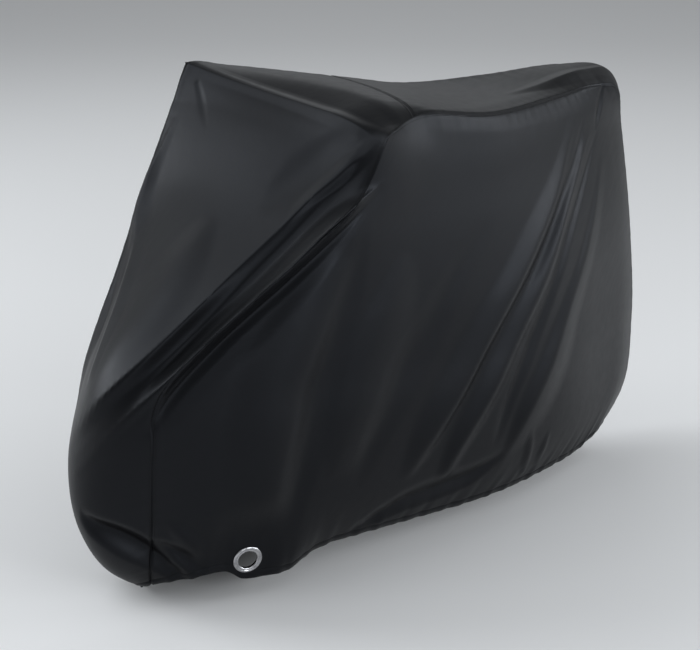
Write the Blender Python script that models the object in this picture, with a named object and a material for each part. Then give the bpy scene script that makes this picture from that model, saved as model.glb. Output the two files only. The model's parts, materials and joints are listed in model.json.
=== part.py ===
"""A fitted bicycle cover of coated cloth, hanging as it does over a bicycle that is left out.

Four sheets are sewn together. The front panel and the rear panel make one long strip: from the front
hem over the front wheel and the handlebar to a cross seam, and on over the saddle to the rear hem.
A side panel closes each flank. A small tab, let into the hem of the near side panel, holds a metal
eyelet and its washer for a lock, and the knotted end of the hem's elastic hangs under the front hem.

The tables are in metres, measured from the ground under the middle of the bicycle. X runs from the
front wheel (-) to the rear wheel (+), Y from the near flank (-) to the far flank (+), and Z is up.
The finished model is moved so that its origin lies where the cloth rests on the middle of the bar.
"""

from collections import namedtuple
from math import cos, pi

import bmesh
import bpy
import numpy as np
from mathutils import Matrix, Vector

# --- Driving sizes ------------------------------------------------------------------------------
SHEET = 0.002  # thickness of the cloth, with its coating and its seam allowance
GAP = 0.0003  # clearance between pieces that touch
SEAM_TRIM = 0.0003  # how far each sheet stops short of a seam

# Cells along a side panel: ahead of the tab, beside it, on to the cross seam, and on to the rear.
CELLS_AHEAD, CELLS_BESIDE, CELLS_TO_CROSS, CELLS_TO_REAR = 3, 2, 2, 20
SIDE_CELLS_UP = 22  # cells of a side panel from its hem to its top
TAB_CELLS_UP = 2  # and of these, the ones beside the tab
STRIP_CELLS_ACROSS = 12  # cells across the front and rear panels
EDGE_CROWDING = 0.10  # how strongly those crowd towards the seams
TAB_STEPS = 3  # steps of the tab's edge between two corners that it shares with its neighbours
RING_STEPS = 36  # facets round the eyelet and its washer
CORNER_LIMIT = 0.6  # keeps the trim of a sheet's sharp corners short

EYELET_BORE = 0.0215  # radii of the eyelet and its washer
EYELET_BARREL = 0.0227
EYELET_FLANGE = 0.0335
EYELET_LIP = 0.0257
WASHER_BORE = 0.0233
WASHER_RIM = 0.0310
FLANGE_THICK = 0.0026
WASHER_THICK = 0.0011
LIP_THICK = 0.0011
FLANGE_BEVEL = 0.0013
TAB_HOLE = 0.0233
TAB_FLAT = 0.0365  # the tab is pressed flat this far from the eyelet's middle
TAB_FADE = 0.2100  # and takes the panel's own shape again this far from it
TAB_FACING = (-0.30, -0.93, -0.20)  # the way the eyelet faces
EYELET_AT = (-0.591, -0.178, 0.140)  # the middle of the eyelet's hole

KNOT_RADIUS = 0.0095
KNOT_STRETCH = 1.15  # across the bicycle
KNOT_SQUASH = 0.85  # in height
KNOT_PINCH = 0.16  # share of its radius by which its waist is drawn in
KNOT_BELOW = 0.0104  # the knot's middle lies this far past the edge of the front hem
KNOT_BEHIND = 0.0030  # and this far inside it

# --- The long strip over the bicycle --------------------------------------------------------------
# One section across the strip in each row: its near edge, its middle and its far edge.
Section = namedtuple("Section", "name near middle far")
STRIP = (
    Section("front hem", (-0.750, -0.037, 0.076), (-0.744, 0.021, 0.057), (-0.702, 0.084, 0.062)),
    Section("toe", (-0.775, -0.075, 0.141), (-0.818, 0.013, 0.107), (-0.768, 0.102, 0.117)),
    Section("low", (-0.794, -0.113, 0.240), (-0.876, 0.008, 0.204), (-0.810, 0.123, 0.217)),
    Section("wheel", (-0.814, -0.155, 0.428), (-0.897, 0.008, 0.361), (-0.813, 0.141, 0.378)),
    Section("wheel top", (-0.805, -0.172, 0.551), (-0.860, -0.018, 0.531), (-0.771, 0.162, 0.512)),
    Section("apron", (-0.680, -0.222, 0.686), (-0.711, 0.005, 0.721), (-0.652, 0.214, 0.671)),
    Section("chest", (-0.496, -0.293, 0.849), (-0.512, 0.005, 0.899), (-0.515, 0.284, 0.870)),
    Section("brow", (-0.354, -0.330, 0.987), (-0.381, 0.000, 1.043), (-0.410, 0.320, 1.055)),
    Section("bar", (-0.325, -0.340, 1.078), (-0.322, -0.009, 1.088), (-0.363, 0.326, 1.132)),
    Section("nape", (-0.264, -0.318, 1.090), (-0.230, -0.015, 1.114), (-0.261, 0.313, 1.120)),
    Section("cross seam", (-0.190, -0.272, 1.088), (-0.138, -0.084, 1.103), (-0.040, 0.210, 1.084)),
    Section("valley", (0.088, -0.227, 1.050), (0.115, -0.042, 1.053), (0.146, 0.146, 1.055)),
    Section("rise", (0.355, -0.155, 1.044), (0.349, -0.042, 1.050), (0.345, 0.084, 1.060)),
    Section("saddle", (0.540, -0.110, 1.043), (0.559, -0.031, 1.061), (0.564, 0.052, 1.064)),
    Section("saddle rear", (0.620, -0.098, 1.023), (0.674, -0.021, 1.045), (0.669, 0.031, 1.050)),
    Section("tail high", (0.723, -0.025, 0.902), (0.722, 0.042, 0.912), (0.640, 0.084, 0.905)),
    Section("tail", (0.792, -0.011, 0.595), (0.780, 0.054, 0.597), (0.660, 0.110, 0.596)),
    Section("rear wheel", (0.811, -0.010, 0.379), (0.795, 0.056, 0.374), (0.668, 0.110, 0.376)),
    Section("tail low", (0.792, -0.009, 0.194), (0.780, 0.053, 0.198), (0.668, 0.107, 0.209)),
    Section("rear hem", (0.704, -0.013, 0.096), (0.692, 0.038, 0.098), (0.596, 0.085, 0.105)),
)

# --- The hems of the side panels, from front to rear ----------------------------------------------
NEAR_HEM = (
    (-0.750, -0.037, 0.076),
    (-0.713, -0.105, 0.104),
    (-0.672, -0.148, 0.118),
    (-0.630, -0.161, 0.114),  # front end of the tab
    (-0.597, -0.167, 0.091),
    (-0.562, -0.174, 0.089),
    (-0.528, -0.176, 0.091),  # rear end of the tab
    (-0.480, -0.168, 0.088),
    (-0.437, -0.168, 0.095),
    (-0.379, -0.168, 0.106),
    (-0.259, -0.165, 0.103),
    (-0.130, -0.162, 0.096),
    (0.195, -0.157, 0.087),
    (0.397, -0.125, 0.088),
    (0.528, -0.089, 0.087),
    (0.624, -0.063, 0.102),
    (0.704, -0.013, 0.096),
)
FAR_HEM = (
    (-0.702, 0.084, 0.062),
    (-0.575, 0.140, 0.059),
    (-0.361, 0.166, 0.059),
    (-0.130, 0.167, 0.064),
    (0.195, 0.157, 0.075),
    (0.470, 0.115, 0.088),
    (0.596, 0.085, 0.105),
)

# The near hem's gentler course, which the side panel follows higher up.
NEAR_SKIRT = (
    (-0.750, -0.037, 0.076),
    (-0.610, -0.128, 0.098),
    (-0.430, -0.172, 0.100),
    (-0.130, -0.172, 0.096),
    (0.195, -0.157, 0.087),
    (0.430, -0.118, 0.088),
    (0.624, -0.063, 0.102),
    (0.704, -0.013, 0.096),
)
SKIRT_FADE = 4  # the power of a place's height with which the hem's own bends die away

# How far a side panel stands out between its seams: low down, and near its top.
Bow = namedtuple("Bow", "along low high")
BOWS = (
    Bow(0.00, 0.000, 0.000),
    Bow(0.15, 0.021, 0.034),
    Bow(0.40, 0.059, 0.056),
    Bow(0.70, 0.059, 0.060),
    Bow(0.90, 0.013, 0.032),
    Bow(1.00, 0.000, 0.000),
)
BULGE = 1.6  # how much farther out a side panel bulges at its middle than its bows say

# The tab, as shares of a side panel's length and height.
TAB_FRONT = 0.118
TAB_REAR = 0.188
TAB_TOP = 0.112

# --- Folds ----------------------------------------------------------------------------------------
# A fold's crest runs through its points, rising by its heights there along "lift". It falls off over
# "left" on its left and "right" on its right, seen from outside along the crest. At sharp 1 the crest
# is a crease, at 0 it is round. A fold with negative heights is a trough.
Fold = namedtuple("Fold", "name crest heights left right sharp lift")
NEAR = (0.0, -1.0, 0.1)
NEAR_FRONT = (-0.45, -0.80, 0.40)
FRONT = (-0.72, -0.10, 0.68)
TOE = (-0.60, -0.80, 0.0)
FAR_FRONT = (-0.55, 0.65, 0.50)
FAR = (0.0, 1.0, 0.1)
TOP = (0.0, -0.15, 1.0)
FOLDS = (
    Fold("near top edge", ((-0.190, -0.272, 1.088), (0.088, -0.227, 1.050), (0.355, -0.155, 1.044),
                           (0.540, -0.110, 1.043), (0.620, -0.098, 1.023)),
         (0.000, -0.006, -0.008, -0.009, -0.004), 0.050, 0.050, 0.6, (0.0, -0.65, 0.76)),
    Fold("bar ridge", ((-0.363, 0.326, 1.132), (-0.322, -0.009, 1.088), (-0.325, -0.340, 1.078)),
         (0.004, 0.006, 0.009), 0.034, 0.030, 0.6, (-0.3, 0.0, 1.0)),
    Fold("behind the bar", ((-0.325, 0.300, 1.128), (-0.290, 0.000, 1.092), (-0.286, -0.220, 1.083),
                            (-0.284, -0.290, 1.080)),
         (-0.002, -0.004, -0.005, -0.003), 0.070, 0.034, 0.2, TOP),
    Fold("apron edge", ((-0.844, 0.064, 0.457), (-0.841, 0.017, 0.497), (-0.793, -0.079, 0.601),
                        (-0.716, -0.130, 0.689), (-0.605, -0.168, 0.791), (-0.482, -0.201, 0.891),
                        (-0.349, -0.241, 1.013)),
         (0.016, 0.030, 0.034, 0.026, 0.018, 0.014, 0.004), 0.130, 0.046, 0.8, NEAR_FRONT),
    Fold("apron trough", ((-0.878, 0.025, 0.430), (-0.848, -0.040, 0.514), (-0.794, -0.124, 0.599),
                          (-0.711, -0.173, 0.680), (-0.603, -0.219, 0.773), (-0.489, -0.250, 0.871),
                          (-0.385, -0.267, 0.960), (-0.328, -0.268, 1.036)),
         (-0.002, -0.005, -0.009, -0.012, -0.012, -0.011, -0.006, 0.000), 0.038, 0.042, 0.2, NEAR_FRONT),
    Fold("apron crest", ((-0.896, 0.023, 0.359), (-0.854, -0.091, 0.480), (-0.805, -0.157, 0.565),
                         (-0.680, -0.222, 0.686), (-0.551, -0.273, 0.802), (-0.431, -0.304, 0.902),
                         (-0.354, -0.336, 0.968)),
         (0.000, 0.003, 0.010, 0.020, 0.023, 0.018, 0.002), 0.036, 0.030, 0.7, NEAR_FRONT),
    Fold("apron hollow", ((-0.819, -0.159, 0.500), (-0.784, -0.195, 0.554), (-0.679, -0.242, 0.664),
                          (-0.548, -0.286, 0.777), (-0.442, -0.315, 0.867), (-0.368, -0.329, 0.930)),
         (-0.004, -0.015, -0.020, -0.015, -0.008, 0.000), 0.032, 0.070, 0.1, NEAR),
    Fold("apron swell", ((-0.829, 0.013, 0.544), (-0.782, -0.027, 0.631), (-0.712, -0.046, 0.720),
                         (-0.625, -0.028, 0.802), (-0.541, 0.001, 0.871)),
         (0.004, 0.009, 0.011, 0.008, 0.000), 0.110, 0.085, 0.0, FRONT),
    Fold("far edge roll", ((-0.814, 0.050, 0.565), (-0.746, 0.083, 0.648), (-0.646, 0.157, 0.740),
                           (-0.526, 0.270, 0.854), (-0.445, 0.282, 0.995)),
         (0.005, 0.008, 0.010, 0.009, 0.002), 0.030, 0.045, 0.5, FRONT),
    Fold("grip fall", ((-0.419, -0.326, 0.821), (-0.480, -0.315, 0.734), (-0.527, -0.300, 0.638),
                       (-0.569, -0.284, 0.548), (-0.586, -0.277, 0.444), (-0.588, -0.259, 0.334),
                       (-0.575, -0.225, 0.200)),
         (0.000, 0.010, 0.018, 0.022, 0.024, 0.020, 0.008), 0.120, 0.110, 0.0, NEAR),
    Fold("middle fall", ((-0.242, -0.310, 0.794), (-0.283, -0.304, 0.698), (-0.327, -0.293, 0.603),
                         (-0.368, -0.280, 0.470), (-0.403, -0.251, 0.299)),
         (0.000, 0.008, 0.013, 0.014, 0.000), 0.130, 0.085, 0.0, NEAR),
    Fold("long saddle fall", ((0.418, -0.163, 0.976), (0.303, -0.209, 0.832), (0.184, -0.248, 0.722),
                              (0.060, -0.270, 0.595), (-0.046, -0.269, 0.456), (-0.126, -0.256, 0.343),
                              (-0.181, -0.230, 0.236)),
         (0.000, 0.007, 0.013, 0.018, 0.020, 0.016, 0.000), 0.055, 0.085, 0.3, NEAR),
    Fold("saddle fall", ((0.509, -0.141, 0.941), (0.373, -0.194, 0.818), (0.237, -0.245, 0.652),
                         (0.132, -0.262, 0.526), (0.046, -0.263, 0.404), (-0.028, -0.244, 0.285),
                         (-0.060, -0.206, 0.173)),
         (0.000, 0.006, 0.011, 0.014, 0.018, 0.014, 0.000), 0.050, 0.055, 0.3, NEAR),
    Fold("rear saddle fall", ((0.578, -0.114, 0.874), (0.466, -0.177, 0.702), (0.358, -0.220, 0.556),
                              (0.278, -0.236, 0.426), (0.204, -0.236, 0.312), (0.159, -0.216, 0.207)),
         (0.000, 0.005, 0.010, 0.016, 0.016, 0.002), 0.110, 0.050, 0.3, NEAR),
    Fold("hem tuck", ((0.150, -0.218, 0.220), (0.055, -0.211, 0.185), (-0.045, -0.207, 0.177),
                      (-0.150, -0.204, 0.170), (-0.240, -0.190, 0.146), (-0.310, -0.175, 0.120)),
         (0.000, -0.014, -0.018, -0.016, -0.010, 0.000), 0.040, 0.045, 0.5, NEAR),
    Fold("toe groove", ((-0.894, 0.010, 0.272), (-0.883, -0.023, 0.252), (-0.844, -0.067, 0.225),
                        (-0.787, -0.091, 0.181), (-0.721, -0.110, 0.112)),
         (0.000, -0.014, -0.024, -0.022, -0.010), 0.046, 0.058, 0.2, TOE),
    Fold("toe pleat", ((-0.790, -0.108, 0.218), (-0.769, -0.121, 0.197), (-0.738, -0.139, 0.172),
                       (-0.696, -0.148, 0.138)),
         (0.000, -0.006, -0.009, -0.006), 0.036, 0.040, 0.2, TOE),
    Fold("saddle crease", ((0.251, -0.090, 1.038), (0.437, -0.066, 1.052), (0.633, -0.033, 1.056)),
         (0.000, 0.008, 0.004), 0.040, 0.040, 0.4, TOP),
    Fold("far apron crest", ((-0.836, 0.136, 0.460), (-0.679, 0.219, 0.648), (-0.502, 0.293, 0.857),
                             (-0.397, 0.319, 1.003)),
         (0.002, 0.017, 0.015, 0.002), 0.115, 0.063, 0.4, FAR_FRONT),
    Fold("far grip fall", ((-0.313, 0.313, 0.972), (-0.366, 0.303, 0.731), (-0.449, 0.277, 0.470),
                           (-0.491, 0.209, 0.209)),
         (0.000, 0.019, 0.021, 0.000), 0.094, 0.104, 0.1, FAR),
    Fold("far middle fall", ((-0.063, 0.256, 0.920), (-0.125, 0.282, 0.669), (-0.209, 0.266, 0.397),
                             (-0.251, 0.209, 0.188)),
         (0.000, 0.013, 0.015, 0.000), 0.115, 0.104, 0.0, FAR),
    Fold("far saddle fall", ((0.491, 0.094, 0.941), (0.355, 0.178, 0.752), (0.230, 0.225, 0.522),
                             (0.136, 0.219, 0.293)),
         (0.000, 0.015, 0.019, 0.003), 0.063, 0.084, 0.2, FAR),
)

# Places where the cloth turns smoothly over what it hangs on, from one sheet to the next. Within
# "reach" of the centre each point moves to the mean of the cloth about "blur" around it.
Spot = namedtuple("Spot", "name centre reach blur")
SOFT_SPOTS = (Spot("near grip", (-0.295, -0.335, 1.035), 0.210, 0.055),)
SOFT_FADE = 0.6  # the share of a spot's reach over which the rounding fades out
CALM_NEAR = 0.030  # folds come to nothing this close to a soft spot's centre
CALM_FAR = 0.130  # and are whole from this far on

# The smooth cloth near the grip is sampled in two patches: on the strip, along and across it
# between two sections, and on the near side panel, along and up it.
Patch = namedtuple("Patch", "start end samples")
STRIP_PATCH = (Patch("apron", "rise", 110), Patch(0.0, 0.8, 40))
SIDE_PATCH = (Patch(0.0, 0.45, 70), Patch(0.45, 1.0, 56))
SAMPLES_AT_ONCE = 400  # points worked out in one go

STATIONS = 400  # stations along a seam at which its run is worked out
CREST_STATIONS = 60  # stations along a crest at which its place and height are worked out
FOLD_TAPER = 0.35  # the share of its width that a fold keeps where its height comes to nothing
FOLD_REACH = 0.21  # a fold doesn't act on cloth farther than this behind or in front of its crest


# --- Curves ---------------------------------------------------------------------------------------
def knots_of(points):
    """The distance along a run of points, at each of them."""
    steps = np.linalg.norm(np.diff(np.asarray(points, float), axis=0), axis=1)
    return np.concatenate(([0.0], np.cumsum(steps)))


def smooth(points, knots, at):
    """Points of the smooth curve that passes through the given points at the given knots."""
    points = np.asarray(points, float)
    spans = np.diff(knots)
    slopes = np.diff(points, axis=0) / spans[:, None]
    tangents = np.empty_like(points)
    weights = spans[:-1, None] + spans[1:, None]
    tangents[1:-1] = (slopes[:-1] * spans[1:, None] + slopes[1:] * spans[:-1, None]) / weights
    tangents[0] = 1.5 * slopes[0] - 0.5 * tangents[1]
    tangents[-1] = 1.5 * slopes[-1] - 0.5 * tangents[-2]
    at = np.clip(np.asarray(at, float), knots[0], knots[-1])
    i = np.clip(np.searchsorted(knots, at, side="right") - 1, 0, len(spans) - 1)
    t = ((at - knots[i]) / spans[i])[..., None]
    span = spans[i][..., None]
    return (
        (2 * t**3 - 3 * t**2 + 1) * points[i]
        + (t**3 - 2 * t**2 + t) * span * tangents[i]
        + (3 * t**2 - 2 * t**3) * points[i + 1]
        + (t**3 - t**2) * span * tangents[i + 1]
    )


def by_share(points, shares):
    """Points of the smooth curve through the given ones, at shares of its run."""
    knots = knots_of(points)
    return smooth(points, knots, shares * knots[-1])


def eased(shares):
    """A smooth step from 0 to 1 as the given shares go from 0 to 1."""
    t = np.clip(shares, 0, 1)
    return t * t * (3 - 2 * t)


def unit(vectors):
    """Vectors of length 1 along the given ones."""
    return vectors / np.linalg.norm(vectors, axis=-1, keepdims=True)


def square_distances(points, others):
    """The square of the distance from each of the points to each of the others."""
    return (points**2).sum(axis=1)[:, None] + (others**2).sum(axis=1) - 2 * points @ others.T


STRIP_KNOTS = knots_of([row.middle for row in STRIP])
HEMS = {"near": NEAR_HEM, "far": FAR_HEM}
SKIRTS = {"near": NEAR_SKIRT, "far": FAR_HEM}
OUTWARD = {"near": -1.0, "far": 1.0}


def knot(name):
    """The distance along the strip's middle line at the named section."""
    return STRIP_KNOTS[[row.name for row in STRIP].index(name)]


def seam(edge, at):
    """Points of the strip's near edge, middle or far edge."""
    return smooth([getattr(row, edge) for row in STRIP], STRIP_KNOTS, at)


def even_places(first, last, shares):
    """Places along the strip whose mean run along both its seams lies at the given shares."""
    dense = np.linspace(knot(first), knot(last), STATIONS)
    run = (knots_of(seam("near", dense)) + knots_of(seam("far", dense))) / 2
    return np.interp(np.asarray(shares) * run[-1], run, dense)


def share_of(name, first, last):
    """The share of the run from the first to the last section at which the named one lies."""
    dense = np.linspace(0, 1, STATIONS)
    return np.interp(knot(name), even_places(first, last, dense), dense)


# --- Shapes of the sheets, before their folds -----------------------------------------------------
def strip_surface(along, across):
    """The strip between its seams, an arch through the middle line."""
    near, middle, far = seam("near", along), seam("middle", along), seam("far", along)
    crown = 2 * middle - (near + far) / 2
    t = across[..., None]
    return (1 - t) ** 2 * near + 2 * t * (1 - t) * crown + t**2 * far


def side_surface(flank, along, up):
    """A side panel between its front seam, top seam, rear seam and hem, standing out by its bow."""
    front = seam(flank, even_places("front hem", "bar", up))
    rear = seam(flank, even_places("saddle rear", "rear hem", 1 - up))
    top = seam(flank, even_places("bar", "saddle rear", along))
    hem = by_share(HEMS[flank], along)
    skirt = by_share(SKIRTS[flank], along)
    corners = {
        (0, 0): np.array(HEMS[flank][0]),
        (1, 0): np.array(HEMS[flank][-1]),
        (0, 1): seam(flank, knot("bar")),
        (1, 1): seam(flank, knot("saddle rear")),
    }
    u, v = along[..., None], up[..., None]
    hem = skirt + (hem - skirt) * (1 - v) ** SKIRT_FADE
    surface = (1 - u) * front + u * rear + (1 - v) * hem + v * top
    for (end, height), corner in corners.items():
        surface -= (u if end else 1 - u) * (v if height else 1 - v) * corner
    bow = smooth([row[1:] for row in BOWS], np.array([row.along for row in BOWS]), along)
    bulge = BULGE * np.sin(pi * up) * (bow[..., 0] * (1 - up) + bow[..., 1] * up)
    surface[..., 1] += OUTWARD[flank] * bulge
    return surface


def grip_samples():
    """Points all over the smooth cloth around the near grip, each with the area it stands for."""
    along, across = STRIP_PATCH
    places = np.linspace(knot(along.start), knot(along.end), along.samples)
    shares = np.linspace(*across)
    strip = strip_surface(*np.meshgrid(places, shares, indexing="ij"))
    along, up = SIDE_PATCH
    side = side_surface("near", *np.meshgrid(np.linspace(*along), np.linspace(*up), indexing="ij"))
    points = np.concatenate([grid.reshape(-1, 3) for grid in (strip, side)])
    steps = [np.cross(*np.gradient(grid, axis=(0, 1))) for grid in (strip, side)]
    areas = np.concatenate([np.linalg.norm(step, axis=-1).ravel() for step in steps])
    return points, areas


def softened(points):
    """The given points of the smooth cloth, with its creases rounded at the soft spots."""
    moved = points.reshape(-1, 3).copy()
    samples, areas = grip_samples()
    for spot in SOFT_SPOTS:
        distance = np.linalg.norm(moved - np.array(spot.centre), axis=1)
        share = eased((spot.reach - distance) / (SOFT_FADE * spot.reach))
        touched = np.flatnonzero(share)
        for part in np.array_split(touched, 1 + len(touched) // SAMPLES_AT_ONCE):
            weights = np.exp(-square_distances(moved[part], samples) / (2 * spot.blur**2)) * areas
            mean = weights @ samples / weights.sum(axis=1, keepdims=True)
            moved[part] += share[part][:, None] * (mean - moved[part])
    return moved.reshape(points.shape)


def fold_height(points, fold):
    """How far one fold lifts the cloth at each point."""
    knots = knots_of(fold.crest)
    at = np.linspace(0, knots[-1], CREST_STATIONS)
    crest = smooth(fold.crest, knots, at)
    ahead = unit(np.gradient(crest, axis=0))
    left = unit(np.cross(unit(np.array(fold.lift)), ahead))
    flat = points.reshape(-1, 3)
    nearest = np.argmin(square_distances(flat, crest), axis=1)
    offset = flat - crest[nearest]
    past = (offset * ahead[nearest]).sum(axis=1)
    beside = (offset * left[nearest]).sum(axis=1)
    behind = (offset * unit(np.array(fold.lift))).sum(axis=1)
    rise = smooth([[h] for h in fold.heights], knots, at[nearest] + past)[:, 0]
    taper = FOLD_TAPER + (1 - FOLD_TAPER) * np.abs(rise) / np.abs(fold.heights).max()
    t = np.clip(np.abs(beside) / (taper * np.where(beside > 0, fold.left, fold.right)), 0, 1)
    profile = fold.sharp * (1 - t) ** 2 + (1 - fold.sharp) * (1 - t**2) ** 2
    beyond = np.clip(np.abs(past) - at[1], 0, None) / max(fold.left, fold.right)
    reach = np.clip(2 - 2 * np.abs(behind) / FOLD_REACH, 0, 1) * np.clip(1 - beyond, 0, 1) ** 2
    return (rise * profile * reach).reshape(points.shape[:-1])


def folded(points):
    """The given points of the smooth cloth, lifted by every fold."""
    lifted = points.copy()
    calm = np.ones(points.shape[:-1])
    for spot in SOFT_SPOTS:
        distance = np.linalg.norm(points - np.array(spot.centre), axis=-1)
        calm *= eased((distance - CALM_NEAR) / (CALM_FAR - CALM_NEAR))
    for fold in FOLDS:
        lifted += (calm * fold_height(points, fold))[..., None] * unit(np.array(fold.lift))
    return lifted


def grid_normals(grid, sign):
    """The outward direction of the cloth at each point of a grid."""
    return unit(sign * np.cross(np.gradient(grid, axis=0), np.gradient(grid, axis=1)))


# --- The eyelet's place ---------------------------------------------------------------------------
def eyelet_frame():
    """The eyelet's middle and the three directions of its plane: along the hem, up and outward."""
    outward = unit(np.array(TAB_FACING))
    along_hem = unit(np.cross((0.0, 0.0, 1.0), outward))
    return np.array(EYELET_AT), along_hem, np.cross(outward, along_hem), outward


def flattened(points, frame):
    """The given points, pressed onto the eyelet's plane around the eyelet."""
    middle, _, _, outward = frame
    offset = points - middle
    height = offset @ outward
    distance = np.linalg.norm(offset, axis=-1)
    t = np.clip((TAB_FADE - distance) / (TAB_FADE - TAB_FLAT), 0, 1)
    press = t**3 * (10 - 15 * t + 6 * t * t)
    return points - (press * height)[..., None] * outward


def cloth_point(frame, surface):
    """The finished middle surface of the cloth at the points of a smooth surface."""
    return flattened(folded(softened(surface)), frame)


# --- Sheets as closed solids ----------------------------------------------------------------------
class Sheet:
    """The middle surface of one sheet: its points, its faces and its outward directions."""

    def __init__(self, points, faces, outward):
        self.points = points
        self.faces = faces
        self.outward = outward
        self.rim = self.find_rim()

    def find_rim(self):
        """The directed edges that only one face uses, as a map from each point to the next one."""
        edges = {(a, b) for face in self.faces for a, b in zip(face, face[1:] + face[:1])}
        return {a: b for a, b in edges if (b, a) not in edges}

    def triangles(self):
        """The faces, each cut along its shorter diagonal, so that both sides of a sheet run alike."""
        pieces = []
        for a, b, c, d in self.faces:
            across = np.linalg.norm(self.points[c] - self.points[a])
            if across < np.linalg.norm(self.points[d] - self.points[b]):
                pieces += [(a, b, c), (a, c, d)]
            else:
                pieces += [(a, b, d), (b, c, d)]
        return pieces

    def trimmed(self, inset):
        """The points with the rim drawn in, so that sheets sewn edge to edge stay apart."""
        points = self.points.copy()
        previous = {b: a for a, b in self.rim.items()}
        for here, after in self.rim.items():
            before = previous[here]
            inward = np.zeros(3)
            for start, end in ((before, here), (here, after)):
                edge = unit(self.points[end] - self.points[start])
                inward += np.cross(self.outward[here], edge)
            length = max(np.linalg.norm(inward), CORNER_LIMIT)
            points[here] += inset * 2 * inward / length**2
        return points


def grid_sheet(grid, sign, skip=None):
    """A sheet from a grid of points, leaving out the cells that skip(i, j) names."""
    rows, columns = grid.shape[:2]
    outward = grid_normals(grid, sign).reshape(-1, 3)
    faces = []
    for i in range(rows - 1):
        for j in range(columns - 1):
            if skip and skip(i, j):
                continue
            a, b = i * columns + j, (i + 1) * columns + j
            face = (a, b, b + 1, a + 1) if sign > 0 else (a, a + 1, b + 1, b)
            faces.append(face)
    used = sorted({corner for face in faces for corner in face})
    index = {old: new for new, old in enumerate(used)}
    faces = [tuple(index[corner] for corner in face) for face in faces]
    return Sheet(grid.reshape(-1, 3)[used], faces, outward[used])


def share_seam_directions(sheets):
    """Gives points that sheets share the same outward direction, so that their edges face squarely."""
    places = np.concatenate([sheet.points for sheet in sheets])
    outward = np.concatenate([sheet.outward for sheet in sheets])
    _, group = np.unique(np.round(places, 6), axis=0, return_inverse=True)
    group = group.ravel()
    total = np.zeros((group.max() + 1, 3))
    np.add.at(total, group, outward)
    shared = unit(total)[group]
    start = 0
    for sheet in sheets:
        sheet.outward = shared[start : start + len(sheet.points)]
        start += len(sheet.points)


def solid_mesh(name, sheet, origin):
    """A closed mesh of the sheet: an outer face, an inner face and a rim."""
    middle = sheet.trimmed(SEAM_TRIM) - origin
    outer = middle + sheet.outward * SHEET / 2
    inner = middle - sheet.outward * SHEET / 2
    count = len(middle)
    outside = sheet.triangles()
    inside = [tuple(corner + count for corner in reversed(face)) for face in outside]
    rim = [(b, a, a + count, b + count) for a, b in sheet.rim.items()]
    mesh = bpy.data.meshes.new(name)
    mesh.from_pydata(np.concatenate([outer, inner]).tolist(), [], outside + inside + rim)
    mesh.validate()
    return mesh


# --- The pieces -----------------------------------------------------------------------------------
def columns_along():
    """Shares of a side panel's length at which its columns stand, with the tab's ends among them."""
    ends = (0.0, TAB_FRONT, TAB_REAR, share_of("cross seam", "bar", "saddle rear"), 1.0)
    cells = (CELLS_AHEAD, CELLS_BESIDE, CELLS_TO_CROSS, CELLS_TO_REAR)
    columns = [np.linspace(*run, endpoint=False) for run in zip(ends, ends[1:], cells)]
    return np.concatenate(columns + [[1.0]])


def rows_up():
    """Shares of a side panel's height at which its rows lie, with the tab's top among them."""
    tab = np.linspace(0, TAB_TOP, TAB_CELLS_UP, endpoint=False)
    return np.concatenate([tab, np.linspace(TAB_TOP, 1, SIDE_CELLS_UP - TAB_CELLS_UP + 1)])


def side_sheet(flank, frame, skip=None):
    """One side panel."""
    along, up = np.meshgrid(columns_along(), rows_up(), indexing="ij")
    grid = cloth_point(frame, side_surface(flank, along, up))
    return grid_sheet(grid, -OUTWARD[flank], skip)


def shares_across():
    """Shares of the strip's width at which its columns stand, closer together beside its seams."""
    even = np.linspace(0, 1, STRIP_CELLS_ACROSS + 1)
    return even - EDGE_CROWDING * np.sin(2 * pi * even)


def strip_sheet(frame, places):
    """The part of the strip that lies at the given places along it."""
    along, across = np.meshgrid(places, shares_across(), indexing="ij")
    return grid_sheet(cloth_point(frame, strip_surface(along, across)), 1.0)


def strip_places():
    """Places along the strip of the front panel's rows and of the rear panel's rows."""
    rows = rows_up()
    climb = even_places("front hem", "bar", rows)
    top = even_places("bar", "saddle rear", columns_along())
    cross = CELLS_AHEAD + CELLS_BESIDE + CELLS_TO_CROSS
    fall = even_places("saddle rear", "rear hem", 1 - rows[::-1])
    front = np.concatenate([climb, top[1 : cross + 1]])
    rear = np.concatenate([top[cross:], fall[1:]])
    return front, rear


def in_tab(i, j):
    """Whether a cell of the near side panel lies where the tab is let in."""
    return CELLS_AHEAD <= i < CELLS_AHEAD + CELLS_BESIDE and j < TAB_CELLS_UP


def tab_outline(frame):
    """The tab's edge, anticlockwise seen from outside: every corner it shares with its neighbours."""
    across = columns_along()[CELLS_AHEAD : CELLS_AHEAD + CELLS_BESIDE + 1]
    heights = rows_up()[: TAB_CELLS_UP + 1]
    loop = [(c, heights[0]) for c in across]
    loop += [(across[-1], h) for h in heights[1:]]
    loop += [(c, heights[-1]) for c in across[-2::-1]]
    loop += [(across[0], h) for h in heights[-2:0:-1]]
    along, up = np.array(loop).T
    return cloth_point(frame, side_surface("near", along, up))


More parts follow.
